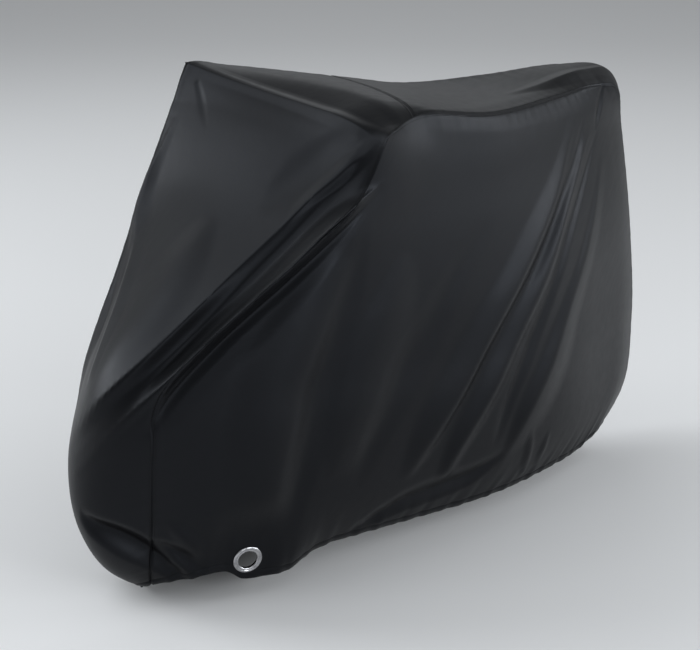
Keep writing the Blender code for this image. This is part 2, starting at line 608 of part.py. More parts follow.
def tab_sheet(frame):
    """The tab around its round hole: rings of points that open from the hole to the tab's edge."""
    middle, along_hem, upward, outward = frame
    corners = tab_outline(frame)
    share = np.arange(TAB_STEPS)[:, None] / TAB_STEPS
    after = np.roll(corners, -1, axis=0)
    edge = (corners[:, None] * (1 - share) + after[:, None] * share).reshape(-1, 3)
    count = len(edge)
    start = edge[0] - middle
    first = np.arctan2(start @ upward, start @ along_hem)
    angles = first + 2 * pi * np.arange(count) / count
    spokes = np.cos(angles)[:, None] * along_hem + np.sin(angles)[:, None] * upward
    rings = [middle + radius * spokes for radius in (TAB_HOLE, (TAB_HOLE + TAB_FLAT) / 2, TAB_FLAT)]
    rings.append(edge)
    points = np.concatenate(rings)
    faces = []
    for ring in range(len(rings) - 1):
        for i in range(count):
            a, b = ring * count + i, ring * count + (i + 1) % count
            faces.append((a, a + count, b + count, b))
    return Sheet(points, faces, np.tile(outward, (len(points), 1)))


def turned_mesh(name, profile):
    """A ring turned from a closed profile of (radius, height) points."""
    build = bmesh.new()
    corners = [build.verts.new((radius, 0.0, height)) for radius, height in profile]
    outline = [build.edges.new(pair) for pair in zip(corners, corners[1:] + corners[:1])]
    geometry = corners + outline
    bmesh.ops.spin(build, geom=geometry, axis=(0, 0, 1), cent=(0, 0, 0), steps=RING_STEPS, angle=2 * pi)
    bmesh.ops.remove_doubles(build, verts=build.verts, dist=1e-6)
    bmesh.ops.recalc_face_normals(build, faces=build.faces)
    mesh = bpy.data.meshes.new(name)
    build.to_mesh(mesh)
    build.free()
    return mesh


def eyelet_profile():
    """The eyelet in section: flange with a flat top, barrel through the tab, and lip behind it."""
    seat = SHEET / 2 + GAP
    top = seat + FLANGE_THICK
    lip = -(SHEET / 2 + GAP + WASHER_THICK + GAP)
    back = lip - LIP_THICK
    return (
        (EYELET_BORE, back),
        (EYELET_LIP, back),
        (EYELET_LIP, lip),
        (EYELET_BARREL, lip),
        (EYELET_BARREL, seat),
        (EYELET_FLANGE, seat),
        (EYELET_FLANGE, top - FLANGE_BEVEL),
        (EYELET_FLANGE - FLANGE_BEVEL, top),
        (EYELET_BORE + FLANGE_BEVEL, top),
        (EYELET_BORE, top - FLANGE_BEVEL),
    )


def washer_profile():
    """The washer in section, behind the tab."""
    face = -(SHEET / 2 + GAP)
    back = face - WASHER_THICK
    return ((WASHER_BORE, back), (WASHER_RIM, back), (WASHER_RIM, face), (WASHER_BORE, face))


def knot_mesh(name):
    """The cord's knot: a squashed ball drawn in round its waist."""
    build = bmesh.new()
    bmesh.ops.create_uvsphere(build, u_segments=16, v_segments=10, radius=KNOT_RADIUS)
    for corner in build.verts:
        waist = 1 - KNOT_PINCH * cos(pi * corner.co.z / KNOT_RADIUS)
        corner.co *= Vector((waist, KNOT_STRETCH * waist, KNOT_SQUASH))
    mesh = bpy.data.meshes.new(name)
    build.to_mesh(mesh)
    build.free()
    return mesh


def material(name, colour, roughness, metallic=0.0):
    """A plain Principled material."""
    made = bpy.data.materials.new(name)
    made.use_nodes = True
    shader = made.node_tree.nodes["Principled BSDF"]
    shader.inputs["Base Color"].default_value = (*colour, 1.0)
    shader.inputs["Roughness"].default_value = roughness
    shader.inputs["Metallic"].default_value = metallic
    return made


def add(name, mesh, finish, place=None):
    """Adds one named piece to the scene."""
    piece = bpy.data.objects.new(name, mesh)
    mesh.materials.append(finish)
    if place is not None:
        piece.matrix_world = place
    bpy.context.scene.collection.objects.link(piece)
    return piece


def main():
    """Clears the scene and builds every piece of the cover."""
    for leftover in list(bpy.data.objects):
        bpy.data.objects.remove(leftover)
    frame = eyelet_frame()
    front_rows, rear_rows = strip_places()
    sheets = {
        "front_panel": strip_sheet(frame, front_rows),
        "rear_panel": strip_sheet(frame, rear_rows),
        "near_side_panel": side_sheet("near", frame, in_tab),
        "far_side_panel": side_sheet("far", frame),
        "eyelet_tab": tab_sheet(frame),
    }
    share_seam_directions(list(sheets.values()))

    front = sheets["front_panel"]
    bar_middle = SIDE_CELLS_UP * (STRIP_CELLS_ACROSS + 1) + STRIP_CELLS_ACROSS // 2
    origin = front.points[bar_middle] - front.outward[bar_middle] * SHEET / 2

    cloth = material("coated_cloth", (0.013, 0.013, 0.015), 0.42)
    metal = material("bright_metal", (0.62, 0.63, 0.65), 0.25, 1.0)
    elastic = material("black_elastic", (0.010, 0.010, 0.011), 0.70)
    for name, sheet in sheets.items():
        add(name, solid_mesh(name, sheet, origin), cloth)

    middle, along_hem, upward, outward = (Vector(part) for part in frame)
    turn = Matrix((along_hem, upward, outward)).transposed().to_4x4()
    place = Matrix.Translation(middle - Vector(origin)) @ turn
    add("eyelet", turned_mesh("eyelet", eyelet_profile()), metal, place)
    add("eyelet_washer", turned_mesh("eyelet_washer", washer_profile()), metal, place)

    hem = STRIP_CELLS_ACROSS // 2
    edge = front.points[hem]
    down = unit(edge - front.points[hem + STRIP_CELLS_ACROSS + 1])
    spot = edge + KNOT_BELOW * down - KNOT_BEHIND * front.outward[hem] - origin
    add("hem_cord_knot", knot_mesh("hem_cord_knot"), elastic, Matrix.Translation(Vector(spot)))


main()
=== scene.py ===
"""Looks of a fitted bicycle cover of black coated cloth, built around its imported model.

The cover hangs over a bicycle that is left out. Its sheets are worked out in a table frame, in
metres from the ground under the middle of the bicycle: X runs from the front wheel (-) to the rear
wheel (+), Y from the near flank (-) to the far flank (+), and Z is up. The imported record's eyelet
mount ties that frame to the model's own.
"""

import json
import logging
from dataclasses import dataclass
from enum import Enum
from typing import NamedTuple

import bpy
import numpy as np
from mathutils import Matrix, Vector

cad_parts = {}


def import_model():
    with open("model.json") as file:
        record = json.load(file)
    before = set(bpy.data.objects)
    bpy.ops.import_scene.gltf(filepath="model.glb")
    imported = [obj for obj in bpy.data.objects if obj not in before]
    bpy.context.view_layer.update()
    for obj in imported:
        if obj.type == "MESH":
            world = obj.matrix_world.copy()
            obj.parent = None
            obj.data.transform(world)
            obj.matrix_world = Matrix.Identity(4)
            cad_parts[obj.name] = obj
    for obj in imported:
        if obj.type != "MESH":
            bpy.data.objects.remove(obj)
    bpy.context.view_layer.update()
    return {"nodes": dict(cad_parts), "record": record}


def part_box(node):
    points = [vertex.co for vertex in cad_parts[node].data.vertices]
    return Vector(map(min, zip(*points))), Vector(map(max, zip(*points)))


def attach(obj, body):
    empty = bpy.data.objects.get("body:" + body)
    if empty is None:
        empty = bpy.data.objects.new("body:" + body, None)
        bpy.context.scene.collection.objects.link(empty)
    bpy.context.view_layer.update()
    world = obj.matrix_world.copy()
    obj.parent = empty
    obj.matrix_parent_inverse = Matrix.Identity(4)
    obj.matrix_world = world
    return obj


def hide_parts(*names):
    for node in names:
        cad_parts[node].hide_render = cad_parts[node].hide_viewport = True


LOG = logging.getLogger("cover")

Point = tuple[float, float, float]
Colour = tuple[float, float, float, float]
Array = np.ndarray


# --- Rows of the tables ---------------------------------------------------------------------------
class Section(NamedTuple):
    """One section across the long strip over the bicycle."""

    name: str
    near: Point
    middle: Point
    far: Point


class Bow(NamedTuple):
    """How far a side panel stands out between its seams: low down, and near its top."""

    along: float
    low: float
    high: float


class Fold(NamedTuple):
    """A fold of the cloth.

    Its crest runs through its points and rises by its heights there along ``lift``. It falls off
    over ``left`` on its left and ``right`` on its right, seen from outside along the crest. At
    sharp 1 the crest is a crease, at 0 it is round. Negative heights make a trough.
    """

    name: str
    crest: tuple[Point, ...]
    heights: tuple[float, ...]
    left: float
    right: float
    sharp: float
    lift: Point


class Spot(NamedTuple):
    """A place where the cloth turns smoothly from one sheet to the next.

    Cloth within ``reach`` of its centre is blended with the cloth around, over a bell curve as
    wide as ``blur``.
    """

    name: str
    centre: Point
    reach: float
    blur: float


# --- The long strip over the bicycle, a section in each row ---------------------------------------
STRIP = (
    Section("front hem", (-0.750, -0.037, 0.076), (-0.744, 0.021, 0.057), (-0.702, 0.084, 0.062)),
    Section("toe", (-0.775, -0.075, 0.141), (-0.818, 0.013, 0.107), (-0.768, 0.102, 0.117)),
    Section("low", (-0.794, -0.113, 0.240), (-0.876, 0.008, 0.204), (-0.810, 0.123, 0.217)),
    Section("wheel", (-0.814, -0.155, 0.428), (-0.897, 0.008, 0.361), (-0.813, 0.141, 0.378)),
    Section("wheel top", (-0.805, -0.172, 0.551), (-0.860, -0.018, 0.531), (-0.771, 0.162, 0.512)),
    Section("apron", (-0.680, -0.222, 0.686), (-0.711, 0.005, 0.721), (-0.652, 0.214, 0.671)),
    Section("chest", (-0.496, -0.293, 0.849), (-0.512, 0.005, 0.899), (-0.515, 0.284, 0.870)),
    Section("brow", (-0.354, -0.330, 0.987), (-0.381, 0.000, 1.043), (-0.410, 0.320, 1.055)),
    Section("bar", (-0.325, -0.340, 1.078), (-0.322, -0.009, 1.088), (-0.363, 0.326, 1.132)),
    Section("nape", (-0.264, -0.318, 1.090), (-0.230, -0.015, 1.114), (-0.261, 0.313, 1.120)),
    Section("cross seam", (-0.190, -0.272, 1.088), (-0.138, -0.084, 1.103), (-0.040, 0.210, 1.084)),
    Section("valley", (0.088, -0.227, 1.050), (0.115, -0.042, 1.053), (0.146, 0.146, 1.055)),
    Section("rise", (0.355, -0.155, 1.044), (0.349, -0.042, 1.050), (0.345, 0.084, 1.060)),
    Section("saddle", (0.540, -0.110, 1.043), (0.559, -0.031, 1.061), (0.564, 0.052, 1.064)),
    Section("saddle rear", (0.620, -0.098, 1.023), (0.674, -0.021, 1.045), (0.669, 0.031, 1.050)),
    Section("tail high", (0.723, -0.025, 0.902), (0.722, 0.042, 0.912), (0.640, 0.084, 0.905)),
    Section("tail", (0.792, -0.011, 0.595), (0.780, 0.054, 0.597), (0.660, 0.110, 0.596)),
    Section("rear wheel", (0.811, -0.010, 0.379), (0.795, 0.056, 0.374), (0.668, 0.110, 0.376)),
    Section("tail low", (0.792, -0.009, 0.194), (0.780, 0.053, 0.198), (0.668, 0.107, 0.209)),
    Section("rear hem", (0.704, -0.013, 0.096), (0.692, 0.038, 0.098), (0.596, 0.085, 0.105)),
)

# --- The hems of the side panels, from front to rear ----------------------------------------------
NEAR_HEM = (
    (-0.750, -0.037, 0.076),
    (-0.713, -0.105, 0.104),
    (-0.672, -0.148, 0.118),
    (-0.630, -0.161, 0.114),  # front end of the tab
    (-0.597, -0.167, 0.091),
    (-0.562, -0.174, 0.089),
    (-0.528, -0.176, 0.091),  # rear end of the tab
    (-0.480, -0.168, 0.088),
    (-0.437, -0.168, 0.095),
    (-0.379, -0.168, 0.106),
    (-0.259, -0.165, 0.103),
    (-0.130, -0.162, 0.096),
    (0.195, -0.157, 0.087),
    (0.397, -0.125, 0.088),
    (0.528, -0.089, 0.087),
    (0.624, -0.063, 0.102),
    (0.704, -0.013, 0.096),
)
FAR_HEM = (
    (-0.702, 0.084, 0.062),
    (-0.575, 0.140, 0.059),
    (-0.361, 0.166, 0.059),
    (-0.130, 0.167, 0.064),
    (0.195, 0.157, 0.075),
    (0.470, 0.115, 0.088),
    (0.596, 0.085, 0.105),
)

# The near hem's gentler course, which the side panel follows higher up.
NEAR_SKIRT = (
    (-0.750, -0.037, 0.076),
    (-0.610, -0.128, 0.098),
    (-0.430, -0.172, 0.100),
    (-0.130, -0.172, 0.096),
    (0.195, -0.157, 0.087),
    (0.430, -0.118, 0.088),
    (0.624, -0.063, 0.102),
    (0.704, -0.013, 0.096),
)
SKIRT_FADE = 4  # the power of a place's height with which the hem's own bends die away

BOWS = (
    Bow(0.00, 0.000, 0.000),
    Bow(0.15, 0.021, 0.034),
    Bow(0.40, 0.059, 0.056),
    Bow(0.70, 0.059, 0.060),
    Bow(0.90, 0.013, 0.032),
    Bow(1.00, 0.000, 0.000),
)
BULGE = 1.6  # how much farther out a side panel bulges at its middle than its bows say

# --- The folds ------------------------------------------------------------------------------------
# The ways in which crests rise from the cloth.
NEAR = (0.0, -1.0, 0.1)
NEAR_FRONT = (-0.45, -0.80, 0.40)
FRONT = (-0.72, -0.10, 0.68)
TOE = (-0.60, -0.80, 0.0)
FAR_FRONT = (-0.55, 0.65, 0.50)
FAR = (0.0, 1.0, 0.1)
TOP = (0.0, -0.15, 1.0)

FOLDS = (
    Fold(
        "near top edge",
        ((-0.190, -0.272, 1.088), (0.088, -0.227, 1.050), (0.355, -0.155, 1.044),
         (0.540, -0.110, 1.043), (0.620, -0.098, 1.023)),
        (0.000, -0.006, -0.008, -0.009, -0.004), 0.050, 0.050, 0.6, (0.0, -0.65, 0.76),
    ),
    Fold(
        "bar ridge",
        ((-0.363, 0.326, 1.132), (-0.322, -0.009, 1.088), (-0.325, -0.340, 1.078)),
        (0.004, 0.006, 0.009), 0.034, 0.030, 0.6, (-0.3, 0.0, 1.0),
    ),
    Fold(
        "behind the bar",
        ((-0.325, 0.300, 1.128), (-0.290, 0.000, 1.092), (-0.286, -0.220, 1.083),
         (-0.284, -0.290, 1.080)),
        (-0.002, -0.004, -0.005, -0.003), 0.070, 0.034, 0.2, TOP,
    ),
    Fold(
        "apron edge",
        ((-0.844, 0.064, 0.457), (-0.841, 0.017, 0.497), (-0.793, -0.079, 0.601),
         (-0.716, -0.130, 0.689), (-0.605, -0.168, 0.791), (-0.482, -0.201, 0.891),
         (-0.349, -0.241, 1.013)),
        (0.016, 0.030, 0.034, 0.026, 0.018, 0.014, 0.004), 0.130, 0.046, 0.8, NEAR_FRONT,
    ),
    Fold(
        "apron trough",
        ((-0.878, 0.025, 0.430), (-0.848, -0.040, 0.514), (-0.794, -0.124, 0.599),
         (-0.711, -0.173, 0.680), (-0.603, -0.219, 0.773), (-0.489, -0.250, 0.871),
         (-0.385, -0.267, 0.960), (-0.328, -0.268, 1.036)),
        (-0.002, -0.005, -0.009, -0.012, -0.012, -0.011, -0.006, 0.000),
        0.038, 0.042, 0.2, NEAR_FRONT,
    ),
    Fold(
        "apron crest",
        ((-0.896, 0.023, 0.359), (-0.854, -0.091, 0.480), (-0.805, -0.157, 0.565),
         (-0.680, -0.222, 0.686), (-0.551, -0.273, 0.802), (-0.431, -0.304, 0.902),
         (-0.354, -0.336, 0.968)),
        (0.000, 0.003, 0.010, 0.020, 0.023, 0.018, 0.002), 0.036, 0.030, 0.7, NEAR_FRONT,
    ),
    Fold(
        "apron hollow",
        ((-0.819, -0.159, 0.500), (-0.784, -0.195, 0.554), (-0.679, -0.242, 0.664),
         (-0.548, -0.286, 0.777), (-0.442, -0.315, 0.867), (-0.368, -0.329, 0.930)),
        (-0.004, -0.015, -0.020, -0.015, -0.008, 0.000), 0.032, 0.070, 0.1, NEAR,
    ),
    Fold(
        "apron swell",
        ((-0.829, 0.013, 0.544), (-0.782, -0.027, 0.631), (-0.712, -0.046, 0.720),
         (-0.625, -0.028, 0.802), (-0.541, 0.001, 0.871)),
        (0.004, 0.009, 0.011, 0.008, 0.000), 0.110, 0.085, 0.0, FRONT,
    ),
    Fold(
        "far edge roll",
        ((-0.814, 0.050, 0.565), (-0.746, 0.083, 0.648), (-0.646, 0.157, 0.740),
         (-0.526, 0.270, 0.854), (-0.445, 0.282, 0.995)),
        (0.005, 0.008, 0.010, 0.009, 0.002), 0.030, 0.045, 0.5, FRONT,
    ),
    Fold(
        "grip fall",
        ((-0.419, -0.326, 0.821), (-0.480, -0.315, 0.734), (-0.527, -0.300, 0.638),
         (-0.569, -0.284, 0.548), (-0.586, -0.277, 0.444), (-0.588, -0.259, 0.334),
         (-0.575, -0.225, 0.200)),
        (0.000, 0.010, 0.018, 0.022, 0.024, 0.020, 0.008), 0.120, 0.110, 0.0, NEAR,
    ),
    Fold(
        "middle fall",
        ((-0.242, -0.310, 0.794), (-0.283, -0.304, 0.698), (-0.327, -0.293, 0.603),
         (-0.368, -0.280, 0.470), (-0.403, -0.251, 0.299)),
        (0.000, 0.008, 0.013, 0.014, 0.000), 0.130, 0.085, 0.0, NEAR,
    ),
    Fold(
        "long saddle fall",
        ((0.418, -0.163, 0.976), (0.303, -0.209, 0.832), (0.184, -0.248, 0.722),
         (0.060, -0.270, 0.595), (-0.046, -0.269, 0.456), (-0.126, -0.256, 0.343),
         (-0.181, -0.230, 0.236)),
        (0.000, 0.007, 0.013, 0.018, 0.020, 0.016, 0.000), 0.055, 0.085, 0.3, NEAR,
    ),
    Fold(
        "saddle fall",
        ((0.509, -0.141, 0.941), (0.373, -0.194, 0.818), (0.237, -0.245, 0.652),
         (0.132, -0.262, 0.526), (0.046, -0.263, 0.404), (-0.028, -0.244, 0.285),
         (-0.060, -0.206, 0.173)),
        (0.000, 0.006, 0.011, 0.014, 0.018, 0.014, 0.000), 0.050, 0.055, 0.3, NEAR,
    ),
    Fold(
        "rear saddle fall",
        ((0.578, -0.114, 0.874), (0.466, -0.177, 0.702), (0.358, -0.220, 0.556),
         (0.278, -0.236, 0.426), (0.204, -0.236, 0.312), (0.159, -0.216, 0.207)),
        (0.000, 0.005, 0.010, 0.016, 0.016, 0.002), 0.110, 0.050, 0.3, NEAR,
    ),
    Fold(
        "hem tuck",
        ((0.150, -0.218, 0.220), (0.055, -0.211, 0.185), (-0.045, -0.207, 0.177),
         (-0.150, -0.204, 0.170), (-0.240, -0.190, 0.146), (-0.310, -0.175, 0.120)),
        (0.000, -0.014, -0.018, -0.016, -0.010, 0.000), 0.040, 0.045, 0.5, NEAR,
    ),
    Fold(
        "toe groove",
        ((-0.894, 0.010, 0.272), (-0.883, -0.023, 0.252), (-0.844, -0.067, 0.225),
         (-0.787, -0.091, 0.181), (-0.721, -0.110, 0.112)),
        (0.000, -0.018, -0.032, -0.030, -0.010), 0.036, 0.050, 0.3, TOE,
    ),
    Fold(
        "toe pleat",
        ((-0.790, -0.108, 0.218), (-0.769, -0.121, 0.197), (-0.738, -0.139, 0.172),
         (-0.696, -0.148, 0.138)),
        (0.000, -0.014, -0.020, -0.010), 0.028, 0.030, 0.3, TOE,
    ),
    Fold(
        "saddle crease",
        ((0.251, -0.090, 1.038), (0.437, -0.066, 1.052), (0.633, -0.033, 1.056)),
        (0.000, 0.008, 0.004), 0.040, 0.040, 0.4, TOP,
    ),
    Fold(
        "far apron crest",
        ((-0.836, 0.136, 0.460), (-0.679, 0.219, 0.648), (-0.502, 0.293, 0.857),
         (-0.397, 0.319, 1.003)),
        (0.002, 0.017, 0.015, 0.002), 0.115, 0.063, 0.4, FAR_FRONT,
    ),
    Fold(
        "far grip fall",
        ((-0.313, 0.313, 0.972), (-0.366, 0.303, 0.731), (-0.449, 0.277, 0.470),
         (-0.491, 0.209, 0.209)),
        (0.000, 0.019, 0.021, 0.000), 0.094, 0.104, 0.1, FAR,
    ),
    Fold(
        "far middle fall",
        ((-0.063, 0.256, 0.920), (-0.125, 0.282, 0.669), (-0.209, 0.266, 0.397),
         (-0.251, 0.209, 0.188)),
        (0.000, 0.013, 0.015, 0.000), 0.115, 0.104, 0.0, FAR,
    ),
    Fold(
        "far saddle fall",
        ((0.491, 0.094, 0.941), (0.355, 0.178, 0.752), (0.230, 0.225, 0.522),
         (0.136, 0.219, 0.293)),
        (0.000, 0.015, 0.019, 0.003), 0.063, 0.084, 0.2, FAR,
    ),
)

SOFT_SPOTS = (Spot("near grip", (-0.295, -0.335, 1.035), 0.210, 0.055),)
CALM_NEAR = 0.030  # folds come to nothing this close to a soft spot's centre
CALM_FAR = 0.130  # and are whole from this far on
SPOT_FADE = 0.6  # the share of its reach over which a soft spot fades out

# Finer folds and creases, in the same columns.
FINE_FOLDS = (
    Fold(
        "crest rim",
        ((-0.896, 0.010, 0.365), (-0.858, -0.085, 0.476), (-0.805, -0.157, 0.565),
         (-0.680, -0.222, 0.686), (-0.551, -0.273, 0.802), (-0.431, -0.304, 0.902),
         (-0.354, -0.336, 0.968)),
        (0.002, 0.003, 0.004, 0.004, 0.004, 0.003, 0.000), 0.016, 0.016, 0.2, NEAR_FRONT,
    ),
    Fold(
        "crest line",
        ((-0.819, -0.161, 0.490), (-0.784, -0.197, 0.544), (-0.679, -0.244, 0.654),
         (-0.548, -0.288, 0.767), (-0.442, -0.317, 0.857), (-0.368, -0.331, 0.920)),
        (-0.003, -0.006, -0.007, -0.007, -0.005, 0.000), 0.012, 0.018, 0.3, NEAR,
    ),
    Fold(
        "second ridge",
        ((-0.500, -0.203, 0.880), (-0.443, -0.212, 0.927), (-0.396, -0.228, 0.960),
         (-0.349, -0.250, 0.999), (-0.310, -0.285, 1.042)),
        (0.000, 0.006, 0.011, 0.012, 0.008), 0.030, 0.026, 0.3, NEAR_FRONT,
    ),
    Fold(
        "apron dip",
        ((-0.326, -0.235, 1.049), (-0.370, -0.180, 1.010), (-0.430, -0.150, 0.950),
         (-0.500, -0.125, 0.890)),
        (0.000, -0.004, -0.004, 0.000), 0.090, 0.060, 0.0, FRONT,
    ),
    Fold(
        "grip trough",
        ((-0.369, -0.330, 0.889), (-0.388, -0.321, 0.770), (-0.414, -0.308, 0.671),
         (-0.444, -0.292, 0.580), (-0.473, -0.281, 0.462), (-0.497, -0.261, 0.347),
         (-0.516, -0.212, 0.173)),
        (0.000, -0.003, -0.006, -0.008, -0.009, -0.008, -0.003), 0.060, 0.075, 0.1, NEAR,
    ),
    Fold(
        "middle trough",
        ((0.034, -0.262, 0.818), (-0.092, -0.283, 0.709), (-0.171, -0.283, 0.600),
         (-0.228, -0.278, 0.523), (-0.275, -0.276, 0.440), (-0.337, -0.238, 0.258)),
        (0.000, -0.004, -0.007, -0.008, -0.007, 0.000), 0.070, 0.070, 0.1, NEAR,
    ),
    Fold(
        "long saddle trough",
        ((0.474, -0.150, 0.987), (0.412, -0.176, 0.879), (0.315, -0.213, 0.789),
         (0.239, -0.239, 0.714), (0.125, -0.264, 0.608), (-0.044, -0.264, 0.402),
         (-0.110, -0.245, 0.300)),
        (0.000, -0.004, -0.005, -0.006, -0.006, -0.005, 0.000), 0.026, 0.036, 0.3, NEAR,
    ),
    Fold(
        "saddle trough",
        ((0.565, -0.125, 0.950), (0.441, -0.173, 0.824), (0.362, -0.207, 0.737),
         (0.262, -0.242, 0.592), (0.186, -0.253, 0.469), (0.126, -0.250, 0.345),
         (0.104, -0.231, 0.247)),
        (0.000, -0.004, -0.006, -0.008, -0.009, -0.007, 0.000), 0.028, 0.034, 0.3, NEAR,
    ),
    Fold(
        "tail trough",
        ((0.565, -0.120, 1.034), (0.549, -0.126, 0.975), (0.528, -0.134, 0.930)),
        (-0.002, -0.005, 0.000), 0.018, 0.024, 0.4, NEAR,
    ),
    Fold(
        "short hem fold",
        ((0.236, -0.222, 0.265), (0.252, -0.196, 0.190), (0.259, -0.169, 0.125)),
        (0.000, 0.006, 0.004), 0.022, 0.022, 0.3, NEAR,
    ),
    Fold(
        "rear hem fold",
        ((0.326, -0.195, 0.221), (0.320, -0.180, 0.175), (0.314, -0.165, 0.134)),
        (0.000, 0.005, 0.003), 0.020, 0.020, 0.3, NEAR,
    ),
    Fold(
        "toe swell",
        ((-0.765, -0.128, 0.260), (-0.745, -0.140, 0.236), (-0.715, -0.150, 0.200),
         (-0.672, -0.155, 0.165)),
        (0.000, 0.006, 0.007, 0.000), 0.030, 0.026, 0.2, TOE,
    ),
    Fold(
        "far trough",
        ((-0.469, 0.303, 0.951), (-0.554, 0.266, 0.810), (-0.632, 0.215, 0.705),
         (-0.763, 0.126, 0.585)),
        (0.000, -0.005, -0.006, -0.002), 0.025, 0.025, 0.4, FRONT,
    ),
    Fold(
        "far grip crease",
        ((-0.378, 0.265, 1.099), (-0.400, 0.215, 1.055), (-0.425, 0.160, 1.010)),
        (-0.002, -0.003, 0.000), 0.014, 0.016, 0.4, FRONT,
    ),
)

TAB_FLAT = 0.0365  # the tab is pressed flat this far from the eyelet's middle
TAB_FADE = 0.2100  # and takes the panel's own shape again this far from it
TAB_FACING = (-0.30, -0.93, -0.20)  # the way the eyelet faces
EYELET_AT = (-0.591, -0.178, 0.140)  # the middle of the eyelet's hole
STRIP_STATIONS = 400  # stations at which runs along the strip are measured
CREST_STATIONS = 60  # stations along a crest at which its place and height are worked out
FOLD_TAPER = 0.35  # the share of its width that a fold keeps where its height comes to nothing
FOLD_REACH = 0.21  # a fold doesn't act on cloth farther than this behind or in front of its crest

# --- Sizes of what only shows here ----------------------------------------------------------------
FLANGE_MIDDLE = 0.0275  # how far above the eyelet's middle the record's eyelet mount lies
FLANGE_FRONT = 0.0039  # and how far in front of the middle of the cloth
CLOTH_THICK = 0.0012  # thickness of the cloth as it shows
CLOTH_HOLE = 0.0250  # radius of the hole under the eyelet's flange
RIM_ANGLE = 0.9  # edges that turn by more than this, in radians, are drawn sharp
POINTS_AT_ONCE = 400  # points whose blending with the cloth around them is worked out together
SAME_PLACE = 6  # decimals of a metre to which the corners of two sheets agree where they meet


# --- The two flanks -------------------------------------------------------------------------------
class Flank(Enum):
    """One side of the bicycle: the name of its seam, and its outward direction along Y."""

    NEAR = ("near", -1.0)
    FAR = ("far", 1.0)

    @property
    def edge(self) -> str:
        """The strip's edge on this flank."""
        return self.value[0]

    @property
    def outward(self) -> float:
        """The sign of Y that points away from the bicycle."""
        return self.value[1]

    @property
    def hem(self) -> tuple[Point, ...]:
        """The hem's points on this flank, from front to rear."""
        return NEAR_HEM if self is Flank.NEAR else FAR_HEM

    @property
    def skirt(self) -> tuple[Point, ...]:
        """The gentler curve that stands for the hem higher up, where its bends have died away."""
        return NEAR_SKIRT if self is Flank.NEAR else FAR_HEM


# --- Curves ---------------------------------------------------------------------------------------
def unit(vectors: Array) -> Array:
    """Vectors of length 1 along the given ones."""
    return vectors / np.linalg.norm(vectors, axis=-1, keepdims=True)


def eased(t: Array) -> Array:
    """The smooth step 3t^2 - 2t^3 of values held between 0 and 1."""
    held = np.clip(t, 0, 1)
    return held * held * (3 - 2 * held)


def slackness(points: Array, near: float, far: float) -> Array:
    """Shares that rise smoothly from 0 near a soft spot to 1 away from every soft spot.

    Args:
        points: The points to find a share for.
        near: The share is 0 up to this distance from a soft spot's centre.
        far: The share is 1 from this distance on.

    Returns:
        One share for each point.
    """
    share = np.ones(points.shape[:-1])
    for spot in SOFT_SPOTS:
        distance = np.linalg.norm(points - np.array(spot.centre), axis=-1)
        share *= eased((distance - near) / (far - near))
    return share


def run_of(points: Array) -> Array:
    """The distance along a run of points, at each of them."""
    steps = np.linalg.norm(np.diff(np.asarray(points, float), axis=0), axis=1)
    return np.concatenate(([0.0], np.cumsum(steps)))


def smooth(points: Array, knots: Array, at: Array) -> Array:
    """Points of the cubic that passes through the given points with no break in its slope.

    Each span is a Hermite cubic. A knot's tangent is the mean of the two slopes beside it, each
    weighted by the other span. At its two ends the curve runs straight out.

    Args:
        points: The points or values to pass through, one row for each knot.
        knots: Rising distances, one for each point.
        at: Distances at which the curve is wanted, in an array of any shape.

    Returns:
        The curve's points, in an array shaped like ``at`` with one more axis.
    """
    points = np.asarray(points, float)
    spans = np.diff(knots)
    slopes = np.diff(points, axis=0) / spans[:, None]
    tangents = np.empty_like(points)
    weights = spans[:-1, None] + spans[1:, None]
    tangents[1:-1] = (slopes[:-1] * spans[1:, None] + slopes[1:] * spans[:-1, None]) / weights
    tangents[0] = 1.5 * slopes[0] - 0.5 * tangents[1]
    tangents[-1] = 1.5 * slopes[-1] - 0.5 * tangents[-2]
    at = np.clip(np.asarray(at, float), knots[0], knots[-1])
    i = np.clip(np.searchsorted(knots, at, side="right") - 1, 0, len(spans) - 1)
    t = ((at - knots[i]) / spans[i])[..., None]
    span = spans[i][..., None]
    return (
        (2 * t**3 - 3 * t**2 + 1) * points[i]
        + (t**3 - 2 * t**2 + t) * span * tangents[i]
        + (3 * t**2 - 2 * t**3) * points[i + 1]
        + (t**3 - t**2) * span * tangents[i + 1]
    )


def square_distances(points: Array, others: Array) -> Array:
    """The squared distance from each of one set of points to each of another."""
    squares = (points**2).sum(axis=1)[:, None] + (others**2).sum(axis=1)
    return np.clip(squares - 2 * points @ others.T, 0, None)


class Wave(NamedTuple):
    """One sine of an uneven wave: its height, and its rate and its start beside the first one's."""

    height: float
    rate: float
    start: float


WAVES = (Wave(0.50, 1.000, 1.0), Wave(0.35, 0.618, 2.4), Wave(0.25, 1.732, 5.1))


def ripple(at: Array, start: float) -> Array:
    """An uneven wave of about unit height: sines whose lengths share no common measure."""
    return sum(wave.height * np.sin(at * wave.rate + wave.start * start) for wave in WAVES)


